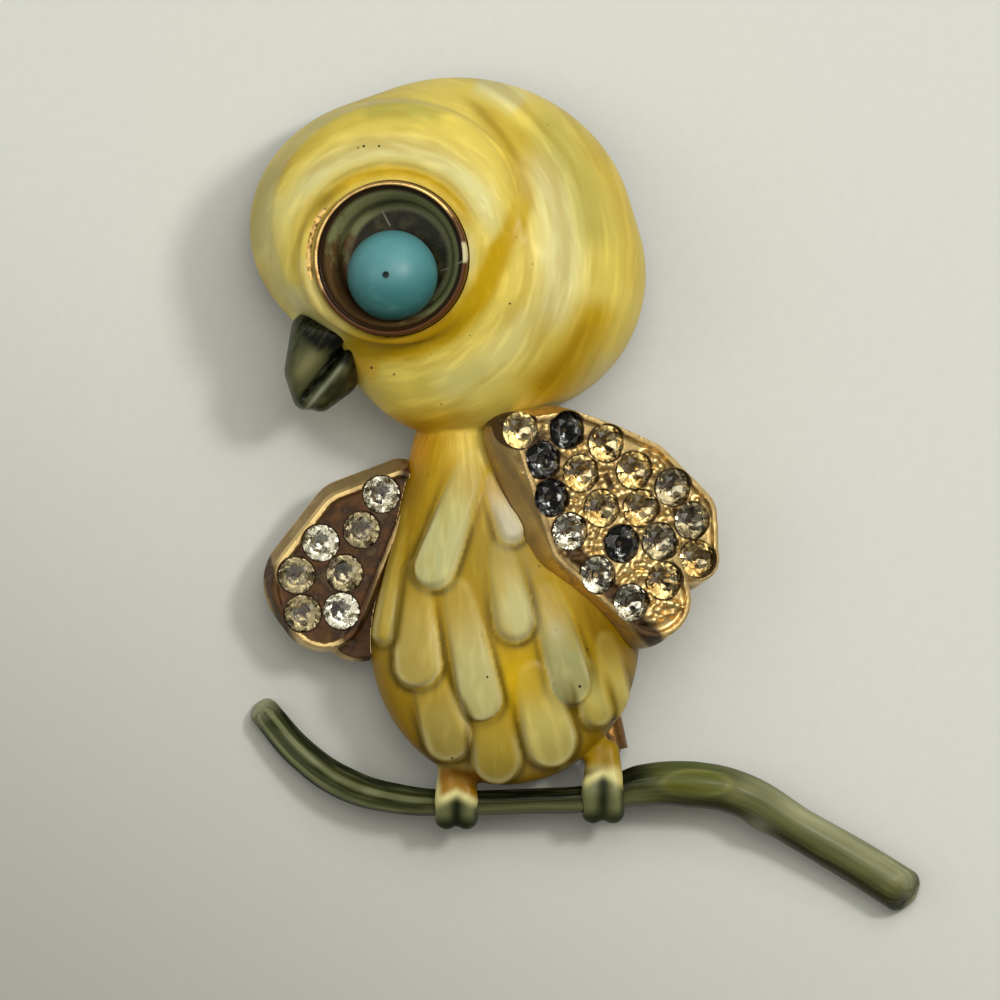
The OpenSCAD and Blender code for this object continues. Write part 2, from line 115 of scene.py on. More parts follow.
def select_faces(piece, wanted):
    """Selects the faces that a test picks, and nothing else, and stays in edit mode."""
    pick(piece)
    bpy.ops.object.mode_set(mode="EDIT")
    bpy.ops.mesh.select_mode(type="FACE")
    bpy.ops.mesh.select_all(action="DESELECT")
    bpy.ops.object.mode_set(mode="OBJECT")
    for face in piece.data.polygons:
        face.select = bool(wanted(face))
    bpy.ops.object.mode_set(mode="EDIT")


def read_vectors(rows, name):
    flat = np.empty(len(rows) * 3, np.float32)
    rows.foreach_get(name, flat)
    return flat.reshape(-1, 3).astype(float)


def corners(piece):
    """The places of a mesh's vertices, in millimetres."""
    return read_vectors(piece.data.vertices, "co") / mm


def facing(piece):
    """The ways that a mesh's vertices face."""
    return read_vectors(piece.data.vertex_normals, "vector")


def press(piece, heights):
    """Moves each vertex outwards along its normal, by a height in millimetres."""
    places = corners(piece) + facing(piece) * heights[:, None]
    piece.data.vertices.foreach_set("co", (places * mm).astype(np.float32).ravel())
    piece.data.update()


def ease(value, low, high):
    """0 below low, 1 above high, and smooth between them."""
    share = np.clip((value - low) / (high - low), 0, 1)
    return share * share * (3 - 2 * share)


def hump(value, middle, width):
    """1 in the middle, and fading on both sides of it."""
    return np.exp(-(((value - middle) / width) ** 2))


def linear(red, green, blue):
    """A colour as mixed on the palette, from 0 to 255, as light."""
    return np.array([(level / 255 / 12.92) if level <= 10
                     else ((level / 255 + 0.055) / 1.055) ** 2.4
                     for level in (red, green, blue)])


def brush(paint, colour, mask):
    """Lays one thin coat over the paint, where its mask says."""
    paint += (linear(*colour) - paint) * np.clip(mask, 0, 1)[:, None]


def write_attribute(piece, name, values):
    """Keeps a colour or a vector for each vertex, under a name that a material reads."""
    colour = name == "paint"
    kind = "FLOAT_COLOR" if colour else "FLOAT_VECTOR"
    made = piece.data.attributes.new(name, kind, "POINT")
    if colour:
        values = np.hstack([values, np.ones((len(values), 1))])
    made.data.foreach_set("color" if colour else "vector", values.astype(np.float32).ravel())


twig = [twig_place(left_foot, twig_left_reach, row, -1) for row in twig_left_rows]
twig.append((Vector((left_foot.x, left_foot.y, foot_z)), twig_at_foot * twig_r))
mid_foot = (left_foot + right_foot) / 2
twig.append((Vector((mid_foot.x, mid_foot.y - 0.1 * mm, foot_z)), twig_at_foot * twig_r))
twig.append((Vector((right_foot.x, right_foot.y, foot_z)), twig_at_foot * twig_r * 1.1))
twig += [twig_place(right_foot, twig_right_reach, row, 1) for row in twig_right_rows]
twig_ends = []
for end, inner in ((0, 1), (-1, -2)):
    outwards = twig[end][0] - twig[inner][0]
    outwards.z = 0
    outwards.normalize()
    twig_ends.append((twig[end][0].copy(), outwards))


def twig_tube(name, grow, sides):
    """The twig's round form as a mesh, a little longer than the twig."""
    bpy.ops.curve.primitive_bezier_curve_add()
    tube = bpy.context.object
    tube.name = name
    spline = tube.data.splines[0]
    spline.bezier_points.add(len(twig) + 2 - len(spline.bezier_points))
    spare = [(place + outwards * saw_spare, twig[end][1])
             for (place, outwards), end in zip(twig_ends, (0, -1))]
    for point, (place, radius) in zip(spline.bezier_points, [spare[0], *twig, spare[1]]):
        point.co = place
        point.radius = (radius + grow) / mm
        point.handle_left_type = point.handle_right_type = "AUTO"
    tube.data.dimensions = "3D"
    tube.data.twist_mode = "Z_UP"
    tube.data.resolution_u = 14
    tube.data.bevel_depth = mm if sides else 0
    tube.data.bevel_resolution = max(0, sides // 2 - 2)
    tube.data.use_fill_caps = True
    pick(tube)
    bpy.ops.object.convert(target="MESH")
    return settle(bpy.context.object)


branch = merge_doubles(twig_tube("twig_green", 0, 48))
saw_faces = []
for place, outwards in twig_ends:
    slant = outwards * math.cos(saw_lean) + Vector((0, 0, math.sin(saw_lean)))
    saw(branch, place, slant)
    saw_faces.append((place, slant))
merge_doubles(branch, 0.04 * mm)
for (place, slant), end in zip(saw_faces, (0, -1)):
    radius = twig[end][1]
    select_faces(branch, lambda face: face.normal.dot(slant) > 0.99
                 and (face.center - place).length < 0.5 * mm)
    # The end is rounded off in steps. Columns: how far in and how far out, in twig radii.
    for inwards, outwards in ((0.1, 0.13), (0.16, 0.1), (0.22, 0.06), (0.2, 0.02)):
        bpy.ops.mesh.inset(thickness=inwards * radius)
        bpy.ops.transform.translate(value=slant * outwards * radius)
    bpy.ops.object.mode_set(mode="OBJECT")

route_piece = twig_tube("twig_route", 0, 0)
route = corners(route_piece)
bpy.data.objects.remove(route_piece)


def round_the_twig(places):
    """For each place: its share of the way along the twig, and its turn from the twig's far
    side (0) over its top (90) to its near side (180), in degrees."""
    nearest = ((places[:, None, :] - route[None, :, :]) ** 2).sum(2).argmin(1)
    heading = np.gradient(route, axis=0)
    heading[:, 2] = 0
    heading /= np.linalg.norm(heading, axis=1)[:, None]
    far_side = np.stack([-heading[:, 1], heading[:, 0], np.zeros(len(route))], 1)[nearest]
    away = places - route[nearest]
    turn = np.degrees(np.arctan2(away[:, 2], (away * far_side).sum(1)))
    return nearest / (len(route) - 1), turn


along, turn = round_the_twig(corners(branch))
flutes = 6
first_ridge = 78
wander = 26 * np.sin(along * 17)
ridge = 0.5 + 0.5 * np.cos(np.radians(flutes * (turn - first_ridge) + wander))
# The flutes' depth in millimetres, at shares of the way along the twig.
ridge_depth = np.interp(along, [0.05, 0.12, 0.3, 0.36, 0.58, 0.66, 1],
                        [0.02, 0.2, 0.18, 0.1, 0.08, 0.05, 0.03])
knot = hump(along, 0.745, 0.018) * hump(turn, 158, 28)
leaf_x, leaf_y = (along - 0.645) / 0.05, (turn - 84) / 34
leaf_reach = np.hypot(leaf_x, leaf_y + 0.25 * leaf_x)
leaf = 1 - ease(leaf_reach, 0.75, 1.05)
leaf_edge = hump(leaf_reach, 0.95, 0.14)
press(branch, -ridge_depth * (1 - ridge) + 0.3 * knot + 0.07 * leaf + 0.08 * leaf_edge)

dark_green, black_green, near_black = (44, 49, 20), (14, 17, 5), (10, 12, 5)
moss, leaf_green, shaded_leaf = (66, 70, 34), (86, 90, 24), (70, 78, 34)
sage, pale_sage, painted_highlight_sage = (128, 132, 92), (150, 152, 118), (160, 161, 124)
khaki, olive_green, leaf_rim = (96, 95, 62), (104, 105, 64), (130, 130, 74)
brown_painted_shade, knot_grey = (36, 32, 10), (140, 138, 118)
left_tip_sage, right_tip_sage = (160, 162, 128), (158, 157, 118)
left_part = 1 - ease(along, 0.3, 0.37)
middle = ease(along, 0.3, 0.36) * (1 - ease(along, 0.56, 0.6))
right_part = ease(along, 0.57, 0.63)
blotch = (0.5 + 0.5 * np.sin(along * 64 + 2 * np.sin(along * 27))
          * np.sin(np.radians(turn) * 2 + along * 33))
left_tip, right_tip = along.min(), along.max()
paint = np.tile(linear(*dark_green), (len(along), 1))
brush(paint, moss, ease(ridge, 0.3, 0.9) * 0.8)
brush(paint, sage, left_part * ease(ridge, 0.5, 0.9) * hump(turn, 108, 52) * (0.6 + 0.4 * blotch))
brush(paint, pale_sage, left_part * hump(turn, 84, 16) * ease(blotch, 0.5, 0.8) * 0.3)
brush(paint, black_green, left_part * (1 - ease(turn, 30, 66)) * 0.92)
brush(paint, black_green, hump(along, 0.31, 0.03) * ease(turn, 100, 150) * 0.8)
brush(paint, khaki, middle * hump(turn, 126, 28) * 0.9)
# Between the feet the twig's upper side is painted near black: painted shadow of the bird's body.
brush(paint, near_black, middle * (1 - ease(turn, 72, 104)) * 0.95)
brush(paint, olive_green, right_part * hump(turn, 84, 62) * (0.7 + 0.3 * blotch))
# Pale sage along the top of the twig's right part is a painted highlight where the light falls.
brush(paint, painted_highlight_sage, right_part * hump(turn, 42, 32) * ease(along, 0.66, 0.78)
      * (0.6 + 0.35 * blotch))
brush(paint, shaded_leaf, right_part * (1 - ease(along, 0.66, 0.72))
      * (1 - ease(turn, 50, 80)) * 0.8)
brush(paint, leaf_green, leaf * 0.85)
brush(paint, leaf_rim, leaf_edge * right_part * 0.7)
# The right part's near, lower side darkens to brown: partly the enamel's brown, partly painted
# shade away from the light.
brush(paint, brown_painted_shade, right_part * ease(turn, 100, 138) * 0.9)
brush(paint, knot_grey, knot * 0.8)
brush(paint, right_tip_sage, ease(along, right_tip - 0.025, right_tip - 0.004) * 0.85)
brush(paint, left_tip_sage, (1 - ease(along, left_tip + 0.008, left_tip + 0.05)) * 0.85)
write_attribute(branch, "paint", paint)
bend = np.radians(turn)
write_attribute(branch, "flow", np.stack([np.cos(bend) * 3.2, np.sin(bend) * 3.2, along * 9], 1))


def add_node(tree, kind, settings=None, inputs=None):
    """Adds a shader node. An input takes a plain value or another node's output."""
    made = tree.nodes.new("ShaderNode" + kind)
    for name, value in (settings or {}).items():
        setattr(made, name, value)
    for name, value in (inputs or {}).items():
        if isinstance(value, bpy.types.NodeSocket):
            tree.links.new(value, made.inputs[name])
        else:
            made.inputs[name].default_value = value
    return made.outputs


def mixed(tree, share, first, second):
    """Mixes two colours, of which the second shows where the share is 1."""
    made = tree.nodes.new("ShaderNodeMix")
    made.data_type = "RGBA"
    for name, value in ((0, share), (6, first), (7, second)):
        if isinstance(value, bpy.types.NodeSocket):
            tree.links.new(value, made.inputs[name])
        else:
            made.inputs[name].default_value = value
    return made.outputs[2]


def worked(tree, operation, *values):
    """One step of arithmetic."""
    return add_node(tree, "Math", {"operation": operation}, dict(enumerate(values)))[0]


def times(tree, *values):
    return worked(tree, "MULTIPLY", *values)


def plus(tree, *values):
    return worked(tree, "ADD", *values)


def scaled(tree, colour, factor):
    """Makes a colour lighter or darker."""
    return add_node(tree, "VectorMath", {"operation": "SCALE"}, {0: colour, "Scale": factor})[0]


def between(tree, value, low, high, to_low=0.0, to_high=1.0):
    """Maps a value smoothly from one range to another, and holds it at the ends."""
    settings = {"interpolation_type": "SMOOTHSTEP"}
    inputs = {"Value": value, 1: low, 2: high, 3: to_low, 4: to_high}
    return add_node(tree, "MapRange", settings, inputs)[0]


def noise(tree, vector, scale, detail=3.0, roughness=0.55):
    """Soft random patches. The scale is how many lie on one unit of the vector."""
    inputs = {"Vector": vector, "Scale": scale, "Detail": detail, "Roughness": roughness}
    return add_node(tree, "TexNoise", None, inputs)[0]


def new_group(name, inputs, outputs):
    """An empty shader group. Inputs: name, kind and value. Outputs: name and kind."""
    group = bpy.data.node_groups.new(name, "ShaderNodeTree")
    for label, kind, value in inputs:
        socket = group.interface.new_socket(label, in_out="INPUT", socket_type="NodeSocket" + kind)
        if value is not None:
            socket.default_value = value
    for label, kind in outputs:
        group.interface.new_socket(label, in_out="OUTPUT", socket_type="NodeSocket" + kind)
    return group, group.nodes.new("NodeGroupInput").outputs, group.nodes.new("NodeGroupOutput")


def use_group(tree, group, inputs):
    return add_node(tree, "Group", {"node_tree": group}, inputs)


def shade(red, green, blue):
    """A colour of the palette, as a shader's input takes it."""
    return (*linear(red, green, blue), 1.0)


# Brushed enamel: the coat under the brush's hairs, which leave paler and darker streaks
# along the stroke, and a few fired-in specks.
brushed, given, result = new_group(
    "brushed_enamel",
    [("Paint", "Color", None), ("Flow", "Vector", None), ("Thin", "Color", None),
     ("Thick", "Color", None), ("Amount", "Float", 0.5), ("Milk", "Float", 0.5),
     ("Place", "Vector", None)],
    [("Color", "Color"), ("Height", "Float")])
broad = noise(brushed, given["Flow"], 0.9, 2.0)
hairs = noise(brushed, given["Flow"], 2.0, 2.4, 0.5)
pale = times(brushed, between(brushed, hairs, 0.46, 0.72), given["Amount"])
deep = times(brushed, between(brushed, broad, 0.54, 0.3), given["Amount"])
lightness = add_node(brushed, "RGBToBW", None, {"Color": given["Paint"]})[0]
deep = times(brushed, deep, between(brushed, lightness, 0.03, 0.14))
lighter = mixed(brushed, given["Milk"], scaled(brushed, given["Paint"], 1.45), given["Thin"])
coat = mixed(brushed, pale, given["Paint"], lighter)
coat = mixed(brushed, deep, coat, given["Thick"])
speck_noise = noise(brushed, given["Place"], 1900.0, 1.0)
speck = between(brushed, speck_noise, 0.79, 0.81, 0.0, 0.7)
coat = mixed(brushed, speck, coat, shade(60, 52, 20))
ripple = noise(brushed, given["Place"], 420.0, 2.0)
brushed.links.new(coat, result.inputs["Color"])
brushed.links.new(plus(brushed, times(brushed, hairs, 0.5), ripple), result.inputs["Height"])


def new_material(name):
    """A new material, with its node tree and its shader."""
    material = bpy.data.materials.new(name)
    material.use_nodes = True
    tree = material.node_tree
    return material, tree, tree.nodes["Principled BSDF"]


def kept(tree, name, kind="Vector"):
    """Reads an attribute that the piece keeps."""
    return add_node(tree, "Attribute", {"attribute_name": name})[kind]


def enamel(name, thin, thick, amount, milk, roughness):
    """A glossy enamel over the paint and the flow that a piece keeps."""
    material, tree, shader = new_material(name)
    place = add_node(tree, "TexCoord")["Object"]
    coat = use_group(tree, brushed, {
        "Paint": kept(tree, "paint", "Color"), "Flow": kept(tree, "flow"), "Thin": shade(*thin),
        "Thick": shade(*thick), "Amount": amount, "Milk": milk, "Place": place})
    tree.links.new(coat["Color"], shader.inputs["Base Color"])
    bump = add_node(tree, "Bump", None, {"Strength": 0.22, "Distance": 0.05 * mm,
                                         "Height": coat["Height"]})
    tree.links.new(bump[0], shader.inputs["Normal"])
    shader.inputs["Roughness"].default_value = roughness
    shader.inputs["Specular IOR Level"].default_value = 0.13
    shader.inputs["Coat Weight"].default_value = 0.035
    shader.inputs["Coat Roughness"].default_value = 0.15
    return material, tree, shader, coat["Color"], place


def dress(piece, *materials):
    piece.data.materials.clear()
    for material in materials:
        piece.data.materials.append(material)


def smooth_off(piece, degrees=40):
    pick(piece)
    bpy.ops.object.shade_smooth_by_angle(angle=math.radians(degrees))


green_enamel = enamel("green_enamel", (112, 114, 70), (20, 22, 5), 0.28, 1.0, 0.38)[0]
dress(branch, green_enamel)
smooth_off(branch, 75)
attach(branch, "root")
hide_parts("branch")

# The wings. Each is a cast tray with a thin raised rim and a field of pockets, plated in gold
# colour that has gone brown in the deep places. Small grains of metal stand between the
# right wing's stones. Each wing lies against the breast at its root and leans down from it.
seat_gap = 0.06 * mm
stone_d = 2.3 * mm
stone_r = stone_d / 2
pitch = 2.4 * mm
girdle_h = stone_d * 0.04
pavilion_h = stone_d * 0.36
crown_h = stone_d * 0.17
rim_w = 0.35 * mm
side_w = 0.5 * mm
recess = 0.45 * mm
lobe_foot = 0.35
lobe_lip = 0.2 * mm
above_tray = 2 * mm
grain_tries = 2500
grain_r = (0.18, 0.36)
grain_apart = 0.42 * mm
# Columns: x, y and radius in stone pitches from the wing's root, and the disc's lobe.
right_discs = [(0.28, 0.05, 0.62, 0), (1.41, 0.16, 0.68, 0), (2.45, -0.2, 0.68, 0),
               (1.56, -2.73, 0.99, 0), (3.59, -4.27, 1.2, 0), (2.45, -0.2, 0.68, 1),
               (3.33, -0.94, 0.99, 1), (4.38, -2.14, 1.09, 1), (4.74, -3.23, 0.75, 1)]
left_discs = [(-0.1, -0.1, 0.62, 0), (-1.38, -1.15, 1.15, 0), (-2.21, -2.71, 1.46, 0),
              (-2.08, -3.33, 1.2, 0), (-1.2, -3.75, 1.04, 1), (-0.3, -1.5, 0.6, 1)]
# Columns: x and y in stone pitches from the wing's root.
left_stones = [(-0.50, -0.42), (-1.02, -1.35), (-2.08, -1.69), (-1.46, -2.47), (-2.71, -2.53),
               (-1.54, -3.46), (-2.55, -3.52)]
right_stones = [(0.22, 0.2), (1.43, 0.21), (0.81, -0.57), (1.02, -1.54), (1.80, -0.91),
                (2.34, -1.82), (1.51, -2.42), (2.45, -0.13), (3.18, -0.83), (3.36, -1.82),
                (2.86, -2.73), (2.24, -3.54), (3.10, -4.27), (3.96, -3.70), (3.85, -2.68),
                (4.69, -2.14), (4.82, -3.13), (4.19, -1.28)]


class Wing:
    """One wing's sizes, and the seat that carries its own frame into place: how far its rim is
    pushed sideways from its foot, how far its second lobe drops, whether grains stand between
    its stones, how brown its floor is, and how dark its lower left sides are painted as shade."""

    def __init__(self, name, root, lean, thick, push, discs, stones, drop,
                 grains, dirt, side, stains):
        self.name, self.thick, self.push = name, thick * mm, [step * mm for step in push]
        self.grains, self.dirt, self.side, self.stains = grains, dirt, side, stains
        self.discs, self.stones, self.drop = discs, stones, drop * mm
        self.stretch = 1 / math.cos(math.radians(lean))
        turned = Matrix.Rotation(math.radians(lean), 4, "Y")
        self.seat = Matrix.Translation(Vector(root) * mm) @ turned

    def place(self, row):
        """Where a row's x and y lie on the wing, before it leans."""
        return row[0] * pitch * self.stretch, row[1] * pitch


# Dark marks on each tray: stains, and painted shadow, such as where the breast shades the
# left wing's inner side and its lower lobe. Columns: x and y from and to, width, all in
# millimetres, and how dark.
right_stains_and_shadows = [(-0.7, -3.6, 1.7, -6.0, 0.85, 1.0), (1.7, -6.0, 4.3, -9.0, 0.9, 1.0),
                (-2.9, 3.4, -2.0, 0.4, 1.1, 0.8),
                (1.3, 1.2, 1.6, 0.5, 0.35, 0.8), (5.6, -1.0, 5.9, -1.8, 0.4, 0.8),
                (-5.4, 2.8, -0.8, -4.6, 0.5, 0.5), (8.0, -5.6, 8.4, -6.2, 0.7, 0.9)]
left_stains_and_shadows = [(-20.0, -4.0, -18.5, -9.6, 0.8, 0.85), (-18.5, -9.6, -15.0, -10.8, 0.4, 0.6),
               (-14.6, -8.2, -12.5, -10.4, 1.6, 1.0), (-11.1, 1.4, -14.3, -7.8, 0.7, 0.85)]
right_wing = Wing("right_wing", (-4.47, 3.53, 10.88), 22, 3.2, (0.3, 0.2), right_discs,
                  right_stones, 0, True, 0.3, 0.62, right_stains_and_shadows)
left_wing = Wing("left_wing", (-11.57, 1.05, 5.62), -8, 2.3, (0.3, -0.25), left_discs,
                 left_stones, 0.9, False, 1.3, 0.0, left_stains_and_shadows)


def drum(x, y, low, high, radius, sides=64):
    """An upright cylinder between two heights."""
    bpy.ops.mesh.primitive_cylinder_add(vertices=sides, radius=radius, depth=high - low,
                                        location=(x, y, (low + high) / 2))
    return bpy.context.object


def join(pieces, name):
    """Makes one piece of several."""
    pick(*pieces)
    bpy.ops.object.join()
    piece = bpy.context.object
    piece.name = piece.data.name = name
    return settle(piece)


def stretch_skin(pieces, name):
    """Stretches one skin over several pieces."""
    piece = join(pieces, name)
    open_all(piece)
    bpy.ops.mesh.convex_hull()
    bpy.ops.object.mode_set(mode="OBJECT")
    return piece


def apply(piece, kind, **settings):
    """Gives a piece a modifier and applies it."""
    pick(piece)
    modifier = piece.modifiers.new(kind.title(), kind)
    for name, value in settings.items():
        setattr(modifier, name, value)
    bpy.ops.object.modifier_apply(modifier=modifier.name)
    return piece


def cut(piece, cutter, operation="DIFFERENCE"):
    """Cuts one piece with another, or unites the two. The cutter is used up."""
    apply(piece, "BOOLEAN", object=cutter, operation=operation, solver="MANIFOLD")
    bpy.data.objects.remove(cutter)
    return piece


def wing_lobe(wing, lobe, grow):
    """One lobe of the tray: a skin over its discs, wide at the foot and narrower at the rim."""
    drop = wing.drop if lobe else 0
    parts = []
    for row in wing.discs:
        if row[3] == lobe:
            x, y = wing.place(row)
            radius = row[2] * pitch
            foot_top = -wing.thick + (wing.thick - drop) * lobe_foot
            parts.append(drum(x, y, -wing.thick - grow, foot_top, radius + grow))
            parts.append(drum(x + wing.push[0], y + wing.push[1], -drop - lobe_lip, -drop + grow,
                              radius - side_w + grow))
    return stretch_skin(parts, wing.name)


def wing_field(wing, lobe):
    """The sunk field inside one lobe's rim, as a cutter."""
    parts = []
    for row in wing.discs:
        if row[3] == lobe:
            x, y = wing.place(row)
            radius = row[2] * pitch - side_w - rim_w
            parts.append(drum(x + wing.push[0], y + wing.push[1], -recess, above_tray, radius))
    return stretch_skin(parts, wing.name + "_field")


def wing_block(wing, grow):
    """The wing's outer form, in place."""
    block = cut(wing_lobe(wing, 0, grow), wing_lobe(wing, 1, grow), operation="UNION")
    block.matrix_world = wing.seat
    return settle(block)


def grain_places(wing):
    """Scattered places in the field that no stone and no other grain covers."""
    stones = [Vector(wing.place(row)) for row in wing.stones]
    edge = side_w + rim_w + 0.3 * mm
    field = [(Vector(wing.place(row)) + Vector(wing.push), row[2] * pitch - edge)
             for row in wing.discs]
    low = Vector([min(stone[axis] for stone in stones) for axis in range(2)])
    high = Vector([max(stone[axis] for stone in stones) for axis in range(2)])
    found = []
    for _ in range(grain_tries):
        place = Vector([random.uniform(low[axis] - pitch / 2, high[axis] + pitch / 2)
                        for axis in range(2)])
        near = sorted((place - stone).length for stone in stones)
        on_field = any((place - at).length < radius for at, radius in field)
        among_stones = near[2] < 1.12 * pitch
        clear = (among_stones or on_field) and near[0] > stone_r + 0.04 * mm
        if clear and all((place - other).length > grain_apart for other in found):
            found.append(place)
    return found


def make_wing(wing, fields):
    """Casts the tray, with its fields, pockets and grains, and softens it as a casting is."""
    tray = cut(wing_lobe(wing, 0, 0), wing_lobe(wing, 1, 0), operation="UNION")
    for lobe in fields:
        cut(tray, wing_field(wing, lobe))
    random.seed(len(wing.stones))
    grains = []
    for place in grain_places(wing) if wing.grains else []:
        radius = random.uniform(*grain_r) * mm
        bpy.ops.mesh.primitive_uv_sphere_add(segments=16, ring_count=10, radius=radius,
                                             location=(place.x, place.y, -recess + 0.08 * mm))
        grains.append(bpy.context.object)
    if grains:
        tray = join([tray, *grains], wing.name)
    apply(tray, "REMESH", mode="VOXEL", voxel_size=0.09 * mm)
    for row in wing.stones:
        x, y = wing.place(row)
        ledge = -recess - pavilion_h * 0.2 - seat_gap
        pit = -recess - pavilion_h - seat_gap
        cut(tray, drum(x, y, ledge, above_tray, stone_r + seat_gap, 32))
        cut(tray, drum(x, y, pit, above_tray, stone_r * 0.8, 32))
    apply(tray, "SMOOTH", factor=0.5, iterations=3)
    # Dirt lies on the floor, round each stone and in stains. The sides away from the light are
    # darkened as painted shade, and some stains are painted shadow.
    bench, normal = corners(tray), facing(tray)
    near = np.min([np.hypot(bench[:, 0] - x / mm, bench[:, 1] - y / mm)
                   for x, y in map(wing.place, wing.stones)], axis=0)
    floor = ease(-bench[:, 2], 0.2, 0.42) * ease(normal[:, 2], 0.2, 0.8)
    dirt = np.maximum(floor * wing.dirt, 1.2 - 1.2 * ease(near, 1.18, 1.3))
    # Sides that face away from the light get painted shade.
    painted_side_shade = ((1 - ease(normal[:, 2], 0.3, 0.7)) * ease(-normal[:, 0] - normal[:, 1], 0.2, 0.9)
                * ease(-bench[:, 2], 0.1, 1.5))
    dirt = np.maximum(dirt, wing.side * painted_side_shade)
    tray.matrix_world = wing.seat
    settle(tray)
    places = corners(tray)
    # The stains, some of which are painted shadow.
    for from_x, from_y, to_x, to_y, width, strength in wing.stains:
        start, way = np.array([from_x, from_y]), np.array([to_x - from_x, to_y - from_y])
        share = np.clip(((places[:, :2] - start) @ way) / max(way @ way, 0.01), 0, 1)
        apart = np.hypot(*(places[:, :2] - start - share[:, None] * way).T)
        dirt = np.maximum(dirt, 1.4 * strength * (1 - ease(apart, width * 0.2, width * 1.15)))
    write_attribute(tray, "bench", np.stack([dirt, dirt, dirt], 1))
    return tray


right_tray = make_wing(right_wing, (0, 1))
left_tray = make_wing(left_wing, (0,))
right_tray.name, left_tray.name = "right_wing_gold", "left_wing_gold"

# Old gold plate: bright where it is rubbed, brown where dirt lies and where a piece asks for
# painted shade, and patchy between.
old_gold, given, result = new_group(
    "old_gold_plate",
    [("Place", "Vector", None), ("Deep", "Float", 0.0), ("Gold", "Color", None),
     ("Tarnish", "Color", None), ("Patches", "Float", 0.5)],
    [("Color", "Color"), ("Dirt", "Float"), ("Height", "Float")])
patch_noise = noise(old_gold, given["Place"], 900.0, 4.0, 0.6)
fine_noise = noise(old_gold, given["Place"], 4200.0, 2.0)
patches = times(old_gold, between(old_gold, patch_noise, 0.45, 0.68), given["Patches"])
dirt = worked(old_gold, "MAXIMUM", patches, given["Deep"])
dirt = times(old_gold, dirt, between(old_gold, patch_noise, 0.34, 0.56, 0.72, 1.0))
depth_of_brown = between(old_gold, patch_noise, 0.36, 0.64, 0.55, 1.9)
browned = scaled(old_gold, given["Tarnish"], depth_of_brown)
unevenness = plus(old_gold, patch_noise, times(old_gold, fine_noise, 0.3))
old_gold.links.new(mixed(old_gold, dirt, given["Gold"], browned), result.inputs["Color"])
old_gold.links.new(dirt, result.inputs["Dirt"])
old_gold.links.new(unevenness, result.inputs["Height"])


def parted(tree, vector):
    """A vector's three numbers."""
    return add_node(tree, "SeparateXYZ", None, {0: vector})


def gold_plate(name, gold, tarnish, patches, kept_darkening=False, roughness=0.3):
    """Gold plate, brown where the piece's own attribute says: dirt, and on the wings painted shade
    too.
    """
    material, tree, shader = new_material(name)
    place = add_node(tree, "TexCoord")["Object"]
    deep = parted(tree, kept(tree, "bench"))["X"] if kept_darkening else 0.0
    plate = use_group(tree, old_gold, {"Place": place, "Deep": deep, "Gold": shade(*gold),
                                       "Tarnish": shade(*tarnish), "Patches": patches})
    darkened_metal = between(tree, plate["Dirt"], 0.3, 1.0, 0.9, 0.35)
    darkened_roughness = between(tree, plate["Dirt"], 0.0, 1.0, roughness, 0.62)
    tree.links.new(plate["Color"], shader.inputs["Base Color"])
    tree.links.new(darkened_metal, shader.inputs["Metallic"])
    tree.links.new(darkened_roughness, shader.inputs["Roughness"])
    bump = add_node(tree, "Bump", None, {"Strength": 0.5, "Distance": 0.05 * mm,
                                         "Height": plate["Height"]})
    tree.links.new(bump[0], shader.inputs["Normal"])
    return material, tree, shader, plate


left_gold = gold_plate("left_wing_plate", (236, 204, 138), (66, 40, 10), 0.35, True)[0]
right_gold = gold_plate("right_wing_plate", (230, 198, 132), (64, 43, 14), 0.6, True)[0]
for tray, material, wing in ((left_tray, left_gold, left_wing),
                             (right_tray, right_gold, right_wing)):
    dress(tray, material)
    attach(tray, "root")
    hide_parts(wing.name)

# The cast bird. Head, breast, feathers and feet are one thin casting with an open back, and
# two posts inside it carry the pin. The face swirls round the eye like a shell. Enamel was
# brushed on by hand: cream over yellow, and deep mustard left in the hollows.
body_size = Vector((16.8, 22.8, 7.2)) * mm
head_size = Vector((24.4, 22, 10.4)) * mm
wall = 1.5 * mm
back_z = 2.6 * mm
belly = Vector((-5.02, -9.075, 2.6)) * mm
head = Vector((-8.57, 15.14, 2.6)) * mm
face_lean = math.radians(-8)
eye = Vector((-12.13, 14.64, 13.62)) * mm
eye_r = 4.8 * mm
lid_r = 0.65 * mm
feather_relief = 0.56
# Columns: x, y and z of the centre, then the radii across, along and up, as shares of the
# form's width, height and depth.
body_blobs = [(0, 0, 0.14, 0.5, 0.397, 0.86), (-0.165, 0.45, 0.14, 0.195, 0.16, 0.68),
              (-0.17, 0.54, 0.14, 0.17, 0.1, 0.6)]
head_blobs = [(0.023, 0.037, 0.115, 0.456, 0.4615, 0.875),
              (-0.118, 0.071, 0.115, 0.39, 0.376, 0.80),
              (0.151, -0.063, 0.115, 0.356, 0.399, 0.846),
              (0.015, -0.15, 0.3, 0.303, 0.375, 0.59)]
face_blob = (-0.123, 0.08, 0.8, 0.333, 0.34, 0.2)


def blob(row, at, size, grow, sides, lean=0.0):
    """One rounded form of the head or the body, a little larger by grow."""
    bpy.ops.mesh.primitive_uv_sphere_add(
        segments=sides, ring_count=sides // 2, radius=1,
        location=at + Vector([row[axis] * size[axis] for axis in range(3)]),
        rotation=(0, lean, 0),
        scale=[row[axis + 3] * size[axis] + grow for axis in range(3)])
    return bpy.context.object


def bird_skins(grow, sides):
    """The head, the face on it and the body, each a skin over its blobs."""
    skull = stretch_skin([blob(row, head, head_size, grow, sides) for row in head_blobs], "skull")
    face = stretch_skin([blob(face_blob, head, head_size, grow, sides, face_lean),
                         blob(head_blobs[1], head, head_size, grow, sides)], "face")
    body = stretch_skin([blob(row, belly, body_size, grow, sides) for row in body_blobs], "body")
    return [skull, face, body]


